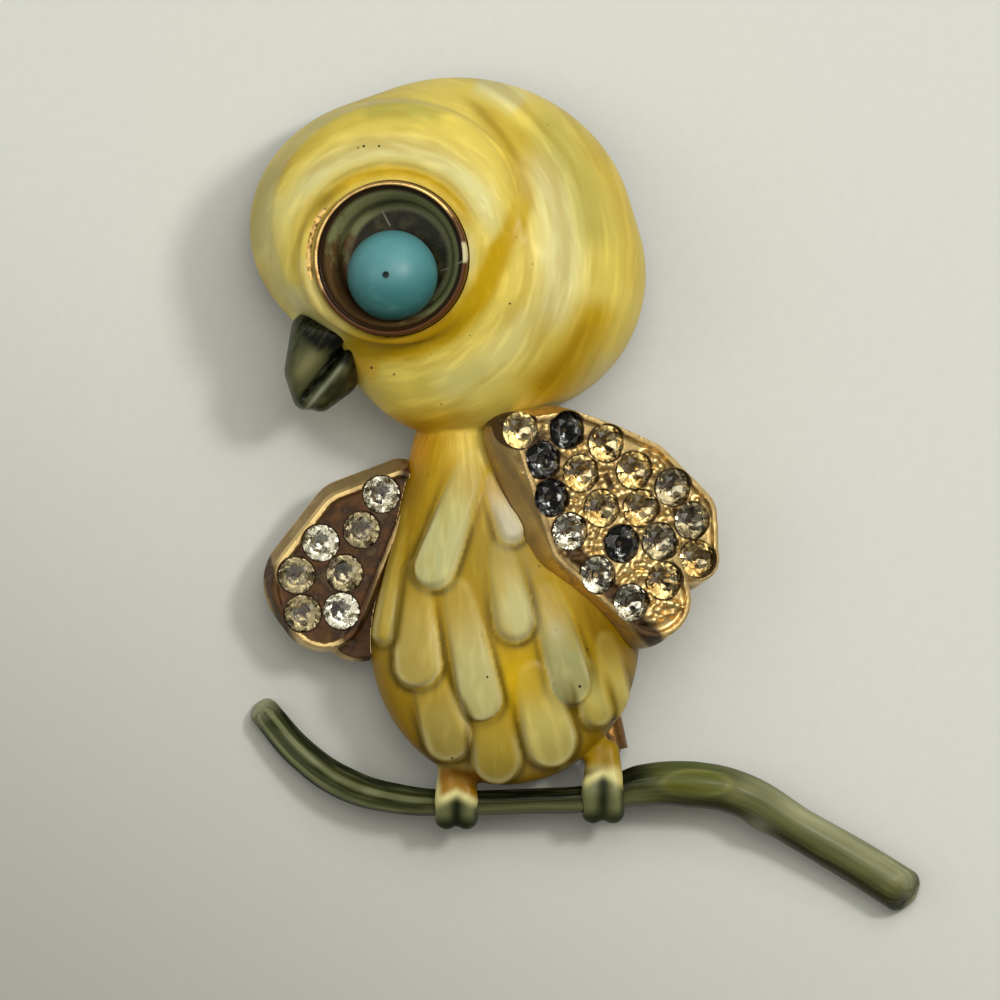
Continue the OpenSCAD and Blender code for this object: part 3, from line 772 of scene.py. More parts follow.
eye_seat = Matrix.Translation(eye) @ Matrix.Rotation(face_lean, 4, "Y")


def ball(place, diameter):
    """One end of a toe's bone."""
    bpy.ops.mesh.primitive_uv_sphere_add(segments=24, ring_count=12, radius=diameter / 2,
                                         location=place)
    return bpy.context.object


# Each foot has two toes. Columns: distance from the foot's middle, place along the foot and
# height, in toe thicknesses.
toe_d = 1.5 * mm
toe_rows = [(0.2, 1.9, 0.35), (0.42, 0.2, 0.6), (0.42, -0.65, 0)]
toes = []
for foot in (left_foot, right_foot):
    for side in (-1, 1):
        knuckles = [Vector((foot.x + side * toe_d * row[0], foot.y + toe_d * row[1],
                            foot_z + toe_d * row[2])) for row in toe_rows]
        for start, end in zip(knuckles, knuckles[1:]):
            toes.append(stretch_skin([ball(start, toe_d), ball(end, toe_d)], "toe"))


def eye_lid(grow):
    """The low lid round the eye, a little thicker by grow."""
    bpy.ops.mesh.primitive_torus_add(
        major_segments=96, minor_segments=24, major_radius=eye_r + 0.74 * lid_r,
        minor_radius=lid_r + grow, location=(0, 0, -1.9 * lid_r))
    lid = bpy.context.object
    lid.matrix_world = eye_seat @ lid.matrix_world
    return settle(lid)


bird = join([*bird_skins(0, 96), eye_lid(0), *toes], "bird_enamelled")
apply(bird, "REMESH", mode="VOXEL", voxel_size=0.152 * mm)
apply(bird, "SMOOTH", factor=0.5, iterations=8)


def from_eye(places):
    """Turn round the eye in degrees, counted from the viewer's right, and distance from it."""
    x, y = places[:, 0] - eye.x / mm, places[:, 1] - eye.y / mm
    return np.degrees(np.arctan2(y, x)), np.hypot(x, y)


# The valley where the face swirls into the head. Columns: turn round the eye, and distance.
valley_rows = [(-130, 5.7), (-104, 5.6), (-84, 5.5), (-56, 5.6), (-32, 5.8), (-10, 6.2), (6, 6.9),
               (24, 9.0), (43, 10.2), (60, 11.0), (80, 11.4)]


def valley(places):
    """How deep in the swirl's valley a place is, from 0 to 1."""
    turn, reach = from_eye(places)
    middle = np.interp(turn, *zip(*valley_rows))
    ends = ease(turn, -135, -100) * (1 - ease(turn, 45, 85))
    return hump(reach, middle, 1.0) * ends


# The feathers. Columns: x and y of the root, x and y of the tip's centre and the width, in
# millimetres from the belly's centre, and the coat's colour.
feathers = [
    (-1.9, 11.4, -4.4, 4.5, 2.8, (204, 202, 138)), (-0.7, 10.0, 0.4, 6.9, 2.0, (206, 198, 168)),
    (-0.2, 5.6, 0.6, 1.2, 2.7, (202, 194, 130)), (-5.8, 4.1, -5.4, -1.5, 3.1, (200, 178, 92)),
    (-3.0, 3.1, -1.5, -3.7, 2.9, (200, 192, 126)), (2.6, 3.1, 4.1, -2.7, 2.9, (166, 164, 108)),
    (1.85, -2.3, 2.8, -6.2, 3.5, (206, 190, 104)), (-4.9, -2.3, -3.5, -6.0, 3.2, (188, 166, 82)),
    (-1.0, -3.9, -0.5, -7.4, 3.2, (184, 160, 62)), (6.3, 0.0, 6.95, -4.0, 2.2, (208, 190, 96)),
    (-6.4, 8.0, -7.6, 0.4, 1.5, (190, 168, 78)), (5.1, -1.6, 5.7, -4.4, 2.2, (196, 182, 98)),
]


def feather_fit(places, row):
    """How far inside a feather's outline a place is, in millimetres, and how far along it."""
    root = np.array(row[0:2]) + np.array(belly[:2]) / mm
    tip = np.array(row[2:4]) + np.array(belly[:2]) / mm
    way = tip - root
    share = ((places[:, :2] - root) @ way) / (way @ way)
    held = np.clip(share, 0, 1)
    apart = np.hypot(*(places[:, :2] - root - held[:, None] * way).T)
    half = row[4] * (0.34 + 0.16 * np.sqrt(held))
    return half - apart, share


def feather_heights(places):
    """The height of the feathers over the breast, and which feather lies on top."""
    best = np.zeros(len(places))
    owner = np.full(len(places), -1)
    for number, row in enumerate(feathers):
        inside, share = feather_fit(places, row)
        crown = ease(inside, 0, 0.55) * (0.2 + 0.8 * ease(share, 0.05, 0.95))
        higher = crown > best
        best[higher] = crown[higher]
        owner[higher] = number
    return best, owner


# The feathers, the valley and the brow over the eye are raised or sunk on the front alone.
places, up = corners(bird), facing(bird)[:, 2]
front = ease(up, 0.05, 0.5) * ease(places[:, 2], 3.2, 5.5)
on_head = ease(places[:, 1], 3.2, 4.6)
crown, owner = feather_heights(places)
turn, reach = from_eye(places)
over_eye = ease(turn, -10, 25) * (1 - ease(turn, 125, 160))
groove = hump(reach, 5.4, 0.42) * over_eye * 0.32
raised = hump(reach, 6.6, 0.65) * over_eye * 0.22
valley_depth = 0.42 * valley(places) * ease(turn, -40, 0)
press(bird, front * (feather_relief * crown * (1 - on_head) - valley_depth - groove + raised))
apply(bird, "SMOOTH", factor=0.5, iterations=1)

# The lid melts into the face at its lower right.
melt = bird.vertex_groups.new(name="melt")
least_weight = 0.02
turn, reach = from_eye(corners(bird))
share = (hump(reach, 6.1, 1.2) * (1 - ease(turn, 5, 35)) * ease(turn, -150, -120)
         * ease(corners(bird)[:, 2], 6.5, 8.0))
for number, weight in enumerate(share):
    if weight > least_weight:
        melt.add([number], weight, "REPLACE")
apply(bird, "SMOOTH", factor=1.0, iterations=320, vertex_group="melt")
bird.vertex_groups.clear()

saw(bird, (0, 0, back_z), (0, 0, -1))
shell = KDTree(len(bird.data.vertices))
for number, vertex in enumerate(bird.data.vertices):
    shell.insert(vertex.co, number)
shell.balance()

# The hollow behind the face, round the eye's socket and the two posts.
step_r = 4.05 * mm
socket_wall = 0.9 * mm
rim_deep = 2.76 * mm
cup_depth = 4.5 * mm
through = 40 * mm
pin_from = Vector((-5.16, 16.24, 0)) * mm
catch_post = Vector((0.03, -15.46, 0)) * mm
pin_top = 2.56 * mm
post_d = 3 * mm
hollow = None
for skin in bird_skins(-wall, 56):
    hollow = skin if hollow is None else cut(hollow, skin, operation="UNION")
socket = drum(0, 0, -cup_depth, through, eye_r + socket_wall)
socket.matrix_world = eye_seat @ socket.matrix_world
cut(hollow, settle(socket))
for post in (pin_from, catch_post):
    cut(hollow, drum(post.x, post.y, pin_top - 1 * mm, through, post_d / 2, 48))
cut(bird, hollow)
for low, high, radius in ((-rim_deep, through, eye_r), (-through, 0, step_r)):
    hole = drum(0, 0, low, high, radius + seat_gap, 96)
    hole.matrix_world = eye_seat @ hole.matrix_world
    cut(bird, settle(hole))
cut(bird, merge_doubles(twig_tube("twig_seat", seat_gap, 32)))

# The wings' roots are filed to the breast, and the feathers are cut back under the wings.
for wing, tray in ((right_wing, right_tray), (left_wing, left_tray)):
    room = wing_block(wing, seat_gap)
    for skin in bird_skins(0.02 * mm, 72):
        cut(room, skin)
    cut(bird, room)
    for skin in bird_skins(seat_gap, 72):
        cut(tray, skin)
    smooth_off(tray, 40)

places, up = corners(bird), facing(bird)[:, 2]
turn, reach = from_eye(places)
crown, owner = feather_heights(places)
on_head = ease(places[:, 1], 3.4, 4.4)
on_body = 1 - on_head
x, y, z = places.T
cream, pale_cream, worn_cream = (216, 208, 142), (218, 212, 154), (214, 196, 120)
rim_cream, feather_cream, straw = (216, 206, 136), (216, 208, 152), (234, 208, 104)
butter, mustard, ochre, pale_paint_and_light = (216, 195, 88), (188, 152, 8), (160, 120, 0), (206, 194, 128)
neck_yellow_painted_light, belly_gold, orange = (248, 194, 24), (206, 168, 16), (224, 158, 6)
breast_mustard, side_mustard, right_mustard_and_shadow = (176, 138, 2), (148, 108, 0), (124, 96, 0)
olive, deep_olive, painted_shade_olive = (160, 153, 72), (96, 76, 6), (122, 110, 34)
rim_brown, painted_wing_shadow, feather_edge = (124, 104, 38), (104, 74, 6), (150, 132, 50)
toe_sage, toe_gap, toe_dark, toe_side = (104, 110, 72), (24, 31, 8), (22, 29, 8), (30, 36, 18)
paint = np.tile(linear(*butter), (len(places), 1))

# Brush strokes round the eye. Columns: turn from and to, distance at the start and at the
# end, width, colour and strength.
strokes = [
    (128, 76, 9.7, 9.5, 0.9, olive, 0.6), (154, 112, 9.6, 9.9, 0.8, olive, 0.45),
    (150, 40, 9.4, 11.6, 1.6, butter, 0.6), (175, 95, 10.8, 11.4, 1.2, mustard, 0.45),
    (100, 70, 9.2, 9.4, 0.6, olive, 0.6), (62, 20, 10.9, 9.3, 0.32, deep_olive, 0.6),
    (64, 50, 12.4, 12.6, 0.8, pale_cream, 0.9), (150, 15, 6.9, 6.7, 0.8, cream, 0.95),
    (36, -22, 10.9, 10.6, 1.4, pale_cream, 0.9), (44, 4, 12.6, 12.9, 1.3, olive, 0.6),
    (30, -8, 14.6, 15.2, 0.7, mustard, 0.5), (-12, -44, 13.4, 12.4, 1.5, mustard, 1.0),
    # On the next line, the second stroke's pale paint is partly painted light, lightened where the
    # face curves away from the light.
    (-18, -40, 12.9, 12.2, 0.6, ochre, 0.6), (-24, -50, 15.2, 14.4, 0.8, pale_paint_and_light, 0.7),
    (-20, -70, 9.3, 8.6, 1.2, cream, 0.6), (-48, -80, 9.0, 7.8, 1.1, olive, 0.35),
    (-62, -112, 10.8, 10.4, 0.9, ochre, 0.75), (-96, -118, 6.6, 7.2, 0.8, orange, 0.5),
    (200, 150, 7.6, 7.6, 1.2, cream, 0.55), (238, 196, 6.0, 6.2, 1.0, cream, 0.9),
    (230, 180, 8.2, 8.2, 0.8, mustard, 0.6), (176, 140, 8.6, 9.0, 0.7, olive, 0.5),
]
for start, end, reach_start, reach_end, width, colour, strength in strokes:
    swing = np.where(turn < min(start, end) - 20, turn + 360, turn)
    share = (swing - start) / (end - start)
    middle = reach_start + (reach_end - reach_start) * np.clip(share, 0, 1)
    ends = ease(share, -0.12, 0.12) * (1 - ease(share, 0.88, 1.12))
    brush(paint, colour, on_head * strength * ends * hump(reach, middle, width))
deep_valley = valley(places)
fading = np.interp(turn, [-60, 8, 28, 60], [1, 1, 0.5, 0.3])
brush(paint, mustard, on_head * ease(deep_valley, 0.1, 0.85) * fading)
over = ease(turn, 8, 40) * (1 - ease(turn, 125, 165))
brush(paint, mustard, on_head * hump(reach, 5.4, 0.42) * over * 0.95)
brush(paint, deep_olive, on_head * hump(reach, 5.9, 0.14) * over * 0.35)
brush(paint, worn_cream, on_head * hump(reach, 5.2, 0.45) * (1 - ease(turn, -170, -110)) * 0.8)
brush(paint, rim_cream, on_head * hump(reach, 5.05, 0.3) * hump(turn, 4, 16) * 0.85)
brush(paint, rim_brown, on_head * hump(reach, 5.4, 0.35) * hump(turn, 138, 12) * 0.8)
brush(paint, ochre, on_head * hump(reach, 5.2, 0.5) * ease(turn, -115, -95)
      * (1 - ease(turn, -50, -30)) * 0.7)
# The neck's yellow is partly painted light: it is made brighter where shade falls on the neck.
brush(paint, neck_yellow_painted_light, hump(y, 3.6, 1.5) * (1 - ease(x, -9.4, -7.2)) * 0.8)
# The ochre band under the chin is painted shadow of the head on the neck.
brush(paint, ochre, hump(y, 4.3, 0.5) * 0.5)
brush(paint, mustard, on_head * (1 - ease(z, 2.9, 5.2)) * 0.35)

# The breast: mustard between the feathers, and each feather in its own coat, paler to its
# tip, with a cream line inside its end and a dark line of painted shadow round it.
side_on = 1 - ease(up, 0.25, 0.8)
brush(paint, breast_mustard, on_body * 0.95)
brush(paint, side_mustard, on_body * side_on * 0.85)
brush(paint, straw, hump(y, 3.0, 1.4) * hump(x, -6.9, 1.6) * 0.75)
# Olive between the feathers of the upper breast is painted shade.
brush(paint, painted_shade_olive, on_body * (1 - ease(crown, 0.05, 0.5)) * hump(x, -5.0, 3.2)
      * hump(y, -4.2, 3.8) * 0.65)
brush(paint, belly_gold, on_body * hump(x, -4.3, 1.5) * hump(y, -11.4, 1.6) * 0.8)
# The lower right breast is deeper mustard and also painted shadow of the right wing.
brush(paint, right_mustard_and_shadow, on_body * ease(x, -1.0, 1.5) * ease(-y, 3.5, 6.0) * 0.85)
# Beside the right wing's lower left edge the breast is painted dark: painted shadow of the wing.
beside_wing = x + 4.1 + (y - 1.6) * 0.47
brush(paint, painted_wing_shadow, on_body * hump(beside_wing, 0.3, 0.9) * ease(-y, -2.0, 0.0) * 0.7)
for number, row in enumerate(feathers):
    inside, share = feather_fit(places, row)
    mine = on_body * (owner == number)
    # Just outside each feather's end, dark olive is painted shadow of the feather.
    under = on_body * hump(inside, -0.14, 0.24) * ease(share, 0.0, 0.8) * (owner != number)
    brush(paint, deep_olive, under * 0.95)
    coat = ease(inside, -0.02, 0.35) * (0.25 + 0.75 * ease(share, 0.0, 0.75))
    brush(paint, [0.92 * part for part in row[5]], mine * coat * 0.95)
    brush(paint, feather_cream, mine * hump(inside, 0.24, 0.18) * ease(share, 0.45, 0.95) * 0.45)
    brush(paint, feather_edge, mine * hump(inside, 0.0, 0.12) * ease(share, 0.2, 0.9) * 0.6)
brush(paint, orange, on_body * hump(x, -10.4, 1.0) * ease(y, 0.5, 3.0) * 0.8)

# The ankles are golden brown beside a cream edge, and the toes are green and dark between.
# Columns: foot, colour of the ankle and of its upper part, height of the toes' green above
# the foot, and the cream edge's side and its place across the foot, in millimetres.
on_feet = 1 - ease(y, -17.5, -16.6)
for foot, ankle, upper, toe_line, cream_side, cream_from in (
        (left_foot, (146, 104, 2), (118, 76, 0), 0.35, -1, 0.8),
        (right_foot, (98, 88, 28), (140, 114, 20), 1.25, 1, 0.0)):
    across = x - foot.x / mm
    here = on_feet * (1 - ease(np.abs(across), 2.4, 2.8)) * (1 - ease(crown, 0.02, 0.12))
    rise = y - foot.y / mm + 0.5 * np.abs(across)
    on_toes = here * (1 - ease(rise, toe_line - 0.35, toe_line + 0.35))
    brush(paint, cream, here * 0.95)
    not_cream = here * (1 - ease(across * cream_side, cream_from, cream_from + 0.45))
    brush(paint, ankle, not_cream * ease(rise, toe_line + 0.3, toe_line + 0.8))
    brush(paint, upper, not_cream * ease(rise, toe_line + 0.9, toe_line + 1.8))
    brush(paint, toe_sage, on_toes * 0.9)
    brush(paint, toe_gap, on_toes * hump(across, 0, 0.5))
    brush(paint, toe_dark, here * (1 - ease(y - foot.y / mm, -1.4, -0.5)) * 0.95)
    brush(paint, toe_side, on_toes * ease(across, 0.9, 1.25) * 0.85)
    brush(paint, toe_dark, here * (1 - ease(z, 2.2, 3.2)) * 0.95)
write_attribute(bird, "paint", paint)

# The brush's way: round the eye on the head, and down from the neck on the breast.
turn_rad = np.radians(turn)
head_flow = np.stack([np.cos(turn_rad) * 1.7, np.sin(turn_rad) * 1.7, reach * 0.95], 1)
neck_x, neck_y = -8.0, 8.5
down = np.stack([x - neck_x, y - neck_y], 1)
far = np.linalg.norm(down, axis=1)
fan = np.arctan2(down[:, 1], down[:, 0])
body_flow = np.stack([np.cos(fan) * 13, np.sin(fan) * 13, far * 0.2], 1)
write_attribute(bird, "flow", np.where((on_head > 0.5)[:, None], head_flow, body_flow))

# Where the enamel has flaked off the metal: left of the eye's rim, at a chip on its right,
# and in pits. The first number of the attribute is how bare a place is.
bare = hump(reach, 5.05, 0.28) * ease(turn, 120, 150)
bare = np.maximum(bare, hump(reach, 5.0, 0.3) * hump(turn, -172, 12))
bare = np.maximum(bare, 0.8 * hump(y, 3.9, 0.5) * hump(x, -1.6, 1.6))
write_attribute(bird, "bench", np.stack([bare, crown, deep_valley], 1))


def flattened(tree, vector):
    """A place without its height."""
    return add_node(tree, "VectorMath", {"operation": "MULTIPLY"}, {0: vector, 1: (1, 1, 0)})[0]


def distance(tree, vector, middle):
    """How far a place is from a fixed one."""
    inputs = {0: vector, 1: middle}
    return add_node(tree, "VectorMath", {"operation": "DISTANCE"}, inputs)["Value"]


yellow_enamel, tree, shader, coat, place = enamel(
    "yellow_enamel", (220, 212, 142), (168, 136, 20), 0.42, 0.08, 0.4)
bare_read = parted(tree, kept(tree, "bench"))["X"]
flakes = noise(tree, place, 2600.0, 3.0, 0.7)
flaked = between(tree, plus(tree, bare_read, flakes), 1.12, 1.2)
# Pits. Columns: x, y and radius, in millimetres.
pits = [(-13.75, 21.6, 0.1), (-12.8, 21.6, 0.09), (-14.1, 21.5, 0.07), (-4.7, 11.85, 0.08),
        (-6.1, -11.3, 0.09), (-0.35, -11.9, 0.12), (0.1, -9.6, 0.08), (-8.3, -16.4, 0.09),
        (-0.6, 6.4, 0.1), (0.3, 6.9, 0.08), (-13.3, 7.9, 0.1), (3.2, 17.6, 0.06)]
flat_place = flattened(tree, place)
pitted = 0.0
for x, y, radius in pits:
    apart = distance(tree, flat_place, (x * mm, y * mm, 0))
    pit = between(tree, apart, radius * mm, radius * mm * 0.55)
    pitted = worked(tree, "MAXIMUM", pit, pitted)
upwards = parted(tree, add_node(tree, "NewGeometry")["Normal"])["Z"]
pitted = times(tree, pitted, between(tree, upwards, 0.3, 0.5))
metal = mixed(tree, between(tree, flakes, 0.35, 0.6), shade(96, 66, 20), shade(222, 184, 110))
coloured = mixed(tree, flaked, coat, metal)
coloured = mixed(tree, pitted, coloured, shade(38, 32, 14))
tree.links.new(coloured, shader.inputs["Base Color"])
tree.links.new(times(tree, flaked, 0.9), shader.inputs["Metallic"])

# The back and the hollow are bare cast metal, and the feet are enamelled all round. A face
# is in the hollow if it lies well inside the shell.
bird_back = gold_plate("bird_back_metal", (176, 150, 104), (96, 76, 44), 0.7, roughness=0.38)[0]
dress(bird, yellow_enamel, bird_back)
well_inside = 0.35 * mm
feet_top = -17.5 * mm
for face in bird.data.polygons:
    apart = shell.find(face.center)[2]
    inner = apart > well_inside and face.center.y > feet_top
    face.material_index = int(inner or face.center.z < back_z + 0.05 * mm)
smooth_off(bird, 45)
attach(bird, "root")
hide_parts("bird_casting")

# The eye's setting. A round cup was spun and turned in steps: a thin bright rim, a sloping
# band, and a deep floor. It is let into the face, and is dull and rusty inside.
step_deep = 2.8 * mm
cup = settle(drum(0, 0, -cup_depth, -step_deep, step_r, 128))
cup.name = cup.data.name = "eye_setting"
select_faces(cup, lambda face: face.normal.z > 0.9)
# The lathe's turns from the step outwards, over the rim and down to the floor. Columns:
# radius and height in millimetres.
turns = [(4.05, -2.8), (4.8, -2.76), (4.8, -0.17), (4.74, -0.05), (4.62, 0.0), (4.5, -0.05),
         (4.45, -0.17), (4.45, -0.34), (4.3, -0.42), (3.66, -2.3), (3.6, -2.42), (3.58, -3.9),
         (3.45, -4.0), (3.2, -4.0), (1.8, -4.0), (0.3, -4.0)]
radius, height = turns[0]
for next_radius, next_height in turns:
    bpy.ops.mesh.extrude_region_move(
        TRANSFORM_OT_translate={"value": (0, 0, (next_height - height) * mm)})
    ratio = next_radius / radius
    bpy.ops.transform.resize(value=(ratio, ratio, 1))
    radius, height = next_radius, next_height
bpy.ops.object.mode_set(mode="OBJECT")
merge_doubles(cup)
write_attribute(cup, "bench", corners(cup))
cup.matrix_world = eye_seat
settle(cup)
smooth_off(cup, 55)


def from_axis(tree, vector):
    """How far a place is from the axis that a piece was turned on."""
    inputs = {0: flattened(tree, vector)}
    return add_node(tree, "VectorMath", {"operation": "LENGTH"}, inputs)["Value"]


cup_metal, tree, shader, plate = gold_plate(
    "eye_setting_plate", (236, 196, 124), (112, 70, 24), 0.5, roughness=0.26)
bench = kept(tree, "bench")
axes = parted(tree, bench)
reach_read = from_axis(tree, bench)
inside = between(tree, reach_read, 4.6, 4.52)
blotch = noise(tree, bench, 0.9, 4.0, 0.6)
# The lining: a mottled floor, a paler band at the step, made paler partly as painted light against
# the deep floor's shade, rust at the lower left, and dark lines of painted shade under the rim and
# at the step.
lower_left = plus(tree, times(tree, axes["X"], -0.07), times(tree, axes["Y"], -0.075))
rust = between(tree, plus(tree, blotch, lower_left), 0.5, 0.8)
floor_colour = mixed(tree, between(tree, blotch, 0.46, 0.7), shade(32, 30, 8), shade(72, 70, 38))
# The band round the floor's edge is paler olive, partly as painted light against the shade of the
# deep floor.
lining = mixed(tree, between(tree, reach_read, 2.9, 3.25), floor_colour, shade(128, 130, 88))
lining = mixed(tree, times(tree, rust, 0.85), lining, shade(84, 50, 22))
# Just inside the rim the lining is painted dark brown: painted shadow of the rim.
rim_shadow_line = add_node(tree, "MapRange", None, {"Value": reach_read, 1: 4.1, 2: 4.3})[0]
lining = mixed(tree, rim_shadow_line, lining, shade(44, 28, 10))
# A dark line at the step's corner is painted shade.
step_shade_line = times(tree, between(tree, reach_read, 3.5, 3.6), between(tree, reach_read, 3.78, 3.66))
lining = mixed(tree, times(tree, step_shade_line, 0.4), lining, shade(26, 26, 14))
# Two threads of old glue on the band. Columns: x, y, turn, length and width in millimetres.
for x, y, turn_of, length, width in ((3.75, -0.42, 14, 1.3, 0.07), (-0.85, 2.6, 118, 0.7, 0.08)):
    moved = add_node(tree, "VectorMath", {"operation": "SUBTRACT"}, {0: bench, 1: (x, y, 0)})[0]
    turned = add_node(tree, "VectorRotate", {"rotation_type": "Z_AXIS"},
                      {"Vector": moved, "Angle": math.radians(-turn_of)})[0]
    thread = parted(tree, turned)
    thin = between(tree, worked(tree, "ABSOLUTE", thread["Y"]), width, width * 0.3)
    short = between(tree, worked(tree, "ABSOLUTE", thread["X"]), length, length * 0.7)
    shown = times(tree, times(tree, thin, short), 0.8)
    lining = mixed(tree, shown, lining, shade(150, 146, 118))
# The rim: worn brown, but for its upper left, and chipped at its right.
chip = between(tree, distance(tree, bench, (4.6, 0.35, -0.1)), 0.75, 0.5)
lower_right = worked(tree, "SUBTRACT", times(tree, axes["X"], 0.5), times(tree, axes["Y"], 0.87))
worn_rim = between(tree, plus(tree, times(tree, blotch, 3.0), lower_right), 0.0, 1.8)
worn_rim = worked(tree, "MAXIMUM", worn_rim, between(tree, reach_read, 4.68, 4.79, 0.0, 0.9))
rim_colour = mixed(tree, worn_rim, plate["Color"], shade(84, 48, 16))
rim_colour = mixed(tree, chip, rim_colour, shade(206, 196, 150))
tree.links.new(mixed(tree, inside, rim_colour, lining), shader.inputs["Base Color"])
on_rim = worked(tree, "SUBTRACT", 1.0, inside)
unworn = worked(tree, "SUBTRACT", 1.0, worked(tree, "MAXIMUM", chip, worn_rim))
tree.links.new(times(tree, times(tree, on_rim, unworn), 0.9), shader.inputs["Metallic"])
shader.inputs["Specular IOR Level"].default_value = 0.2
dress(cup, cup_metal)
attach(cup, "root")
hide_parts("eye_cup")

# The eye's bead. A polished turquoise glass bead, drilled through, that stands in the cup
# with its hole to the front and leans against the cup's lower step.
bead_r = 2.8 * mm
bead_low, bead_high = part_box("eye_bead")
bead_hole_r = 0.18 * mm
bead_hole_deep = 0.56 * mm
bpy.ops.mesh.primitive_uv_sphere_add(segments=96, ring_count=48, radius=bead_r)
bead = bpy.context.object
bead.name = bead.data.name = "eye_bead_turquoise"
cut(bead, drum(0, 0, bead_r - bead_hole_deep, 2 * bead_r, bead_hole_r, 32))
apply(bead, "BEVEL", width=0.05 * mm, segments=3, limit_method="ANGLE",
      angle_limit=math.radians(40))
write_attribute(bead, "bench", corners(bead))
bead_middle = (bead_low + bead_high) / 2
bead.matrix_world = Matrix.Translation(bead_middle) @ Matrix.Rotation(face_lean, 4, "Y")
settle(bead)
smooth_off(bead, 40)

turquoise, tree, shader = new_material("turquoise_bead")
bench = kept(tree, "bench")
cloud = noise(tree, bench, 0.8, 4.0, 0.6)
# The glass is painted paler on its upper half and darker on its lower half: painted light and
# shade.
upper = between(tree, plus(tree, parted(tree, bench)["Y"], times(tree, cloud, 1.2)), -1.5, 2.4)
pale_cloud = between(tree, cloud, 0.54, 0.8, 0.0, 0.35)
# Round the hole the glass is painted dark: painted shade in the hole.
by_hole = between(tree, from_axis(tree, bench), 0.3, 0.17)
bead_colour = mixed(tree, upper, shade(50, 112, 110), shade(84, 146, 150))
bead_colour = mixed(tree, pale_cloud, bead_colour, shade(112, 166, 164))
bead_colour = mixed(tree, by_hole, bead_colour, shade(24, 60, 58))
tree.links.new(bead_colour, shader.inputs["Base Color"])
shader.inputs["Roughness"].default_value = 0.48
shader.inputs["Coat Weight"].default_value = 0.1
shader.inputs["Coat Roughness"].default_value = 0.3
bump = add_node(tree, "Bump", None, {"Strength": 0.15, "Distance": 0.03 * mm, "Height": cloud})
tree.links.new(bump[0], shader.inputs["Normal"])
dress(bead, turquoise)
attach(bead, "root")
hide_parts("eye_bead")

# The beak. Two cast halves that close on a slit, under the face, in the twig's green enamel,
# almost black in the slit. Sage lies on the crown of each half; on the upper half it is a painted
# highlight. The lower half is darker, partly as painted shade, and where the beak meets the face
# it is painted black as the face's shadow.
beak_len = 5.4
beak_at = Vector((-16.62, 9.64, 6.97)) * mm
beak_flat = 2.2
# Columns: x, y, z and radius as shares of the beak's length.
beak_upper = [(-0.13, 0.13, 0.05, 0.165), (0.21, 0.04, 0.05, 0.165), (-0.22, -0.36, 0, 0.155),
              (-0.15, -0.66, -0.08, 0.13)]
beak_lower = [(0.31, -0.13, 0.02, 0.15), (0.27, -0.45, -0.04, 0.165), (0.02, -0.69, -0.1, 0.12)]
halves = []
for rows in (beak_upper, beak_lower):
    lumps = []
    for x, y, z, radius in rows:
        lump_r = radius * beak_len * mm
        bpy.ops.mesh.primitive_uv_sphere_add(
            segments=40, ring_count=20, radius=1, scale=(lump_r, lump_r, lump_r * beak_flat),
            location=beak_at + Vector((x, y, z)) * beak_len * mm)
        lumps.append(bpy.context.object)
    halves.append(stretch_skin(lumps, "beak_half"))
beak = join(halves, "beak_green")
apply(beak, "REMESH", mode="VOXEL", voxel_size=0.09 * mm)
apply(beak, "SMOOTH", factor=0.5, iterations=44)
# The slit, as a line on the beak's face: a place on it, in millimetres, and its turn.
slit_at = np.array([-16.05, 7.83])
slit_turn = math.radians(39.5)
slit_way = np.array([math.sin(slit_turn), math.cos(slit_turn)])


def by_the_slit(places):
    """How far to the right of the slit each place is, and how far up along it."""
    away = places[:, :2] - slit_at
    return away @ np.array([slit_way[1], -slit_way[0]]), away @ slit_way


from_slit, up_slit = by_the_slit(corners(beak))
slit = hump(from_slit, 0, 0.2) * (1 - ease(-up_slit, 2.0, 2.6)) * ease(facing(beak)[:, 2], 0, 0.4)
press(beak, 0.12 - 0.6 * slit)
for skin in (*bird_skins(seat_gap, 72), eye_lid(seat_gap)):
    cut(beak, skin)
saw(beak, (0, 0, back_z), (0, 0, -1))
places = corners(beak)
from_slit, up_slit = by_the_slit(places)
slit_half = np.interp(up_slit, [-2.6, 2.6], [0.22, 0.42])
slit = np.exp(-((from_slit / slit_half) ** 4)) * (1 - ease(-up_slit, 2.3, 3.0))
reach = from_eye(places)[1]
paint = np.tile(linear(58, 62, 36), (len(places), 1))
# The lower half is painted darker: partly its own enamel, partly painted shade.
brush(paint, (40, 40, 16), ease(from_slit, 0.3, 0.8) * 0.85)
# A sage patch on the upper half is a painted highlight.
brush(paint, (124, 120, 80), hump(from_slit, -1.2, 0.6) * hump(up_slit, -0.6, 1.6) * 0.85)
brush(paint, (146, 150, 122), hump(from_slit, 0.56, 0.14) * (1 - ease(up_slit, 0.8, 1.8)) * 0.9)
brush(paint, (44, 28, 12), hump(from_slit, 1.75, 0.6) * ease(up_slit, -1.0, 0.5) * 0.8)
# Where the beak meets the face it is painted black: painted shadow of the face.
brush(paint, (8, 10, 9), (1 - ease(reach, 6.9, 7.6)) * 0.95)
brush(paint, (7, 8, 4), slit)
write_attribute(beak, "paint", paint)
write_attribute(beak, "flow", np.stack([from_slit * 1.6, up_slit * 0.4, places[:, 2] * 0.5], 1))
dress(beak, green_enamel)
smooth_off(beak, 45)
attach(beak, "root")
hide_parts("beak")

# The rhinestones. Each is a glass chaton with a flat table and a foiled point, glued into
# its pocket. Some are bright, some have yellowed, and a few have lost their foil and are dark.
table_r = stone_r * 0.56


def ring(radius, height, sides, turned=0.0):
    """One level of the stone's facets."""
    bpy.ops.mesh.primitive_circle_add(vertices=sides, radius=radius, location=(0, 0, height),
                                      rotation=(0, 0, math.radians(turned)))
    return bpy.context.object


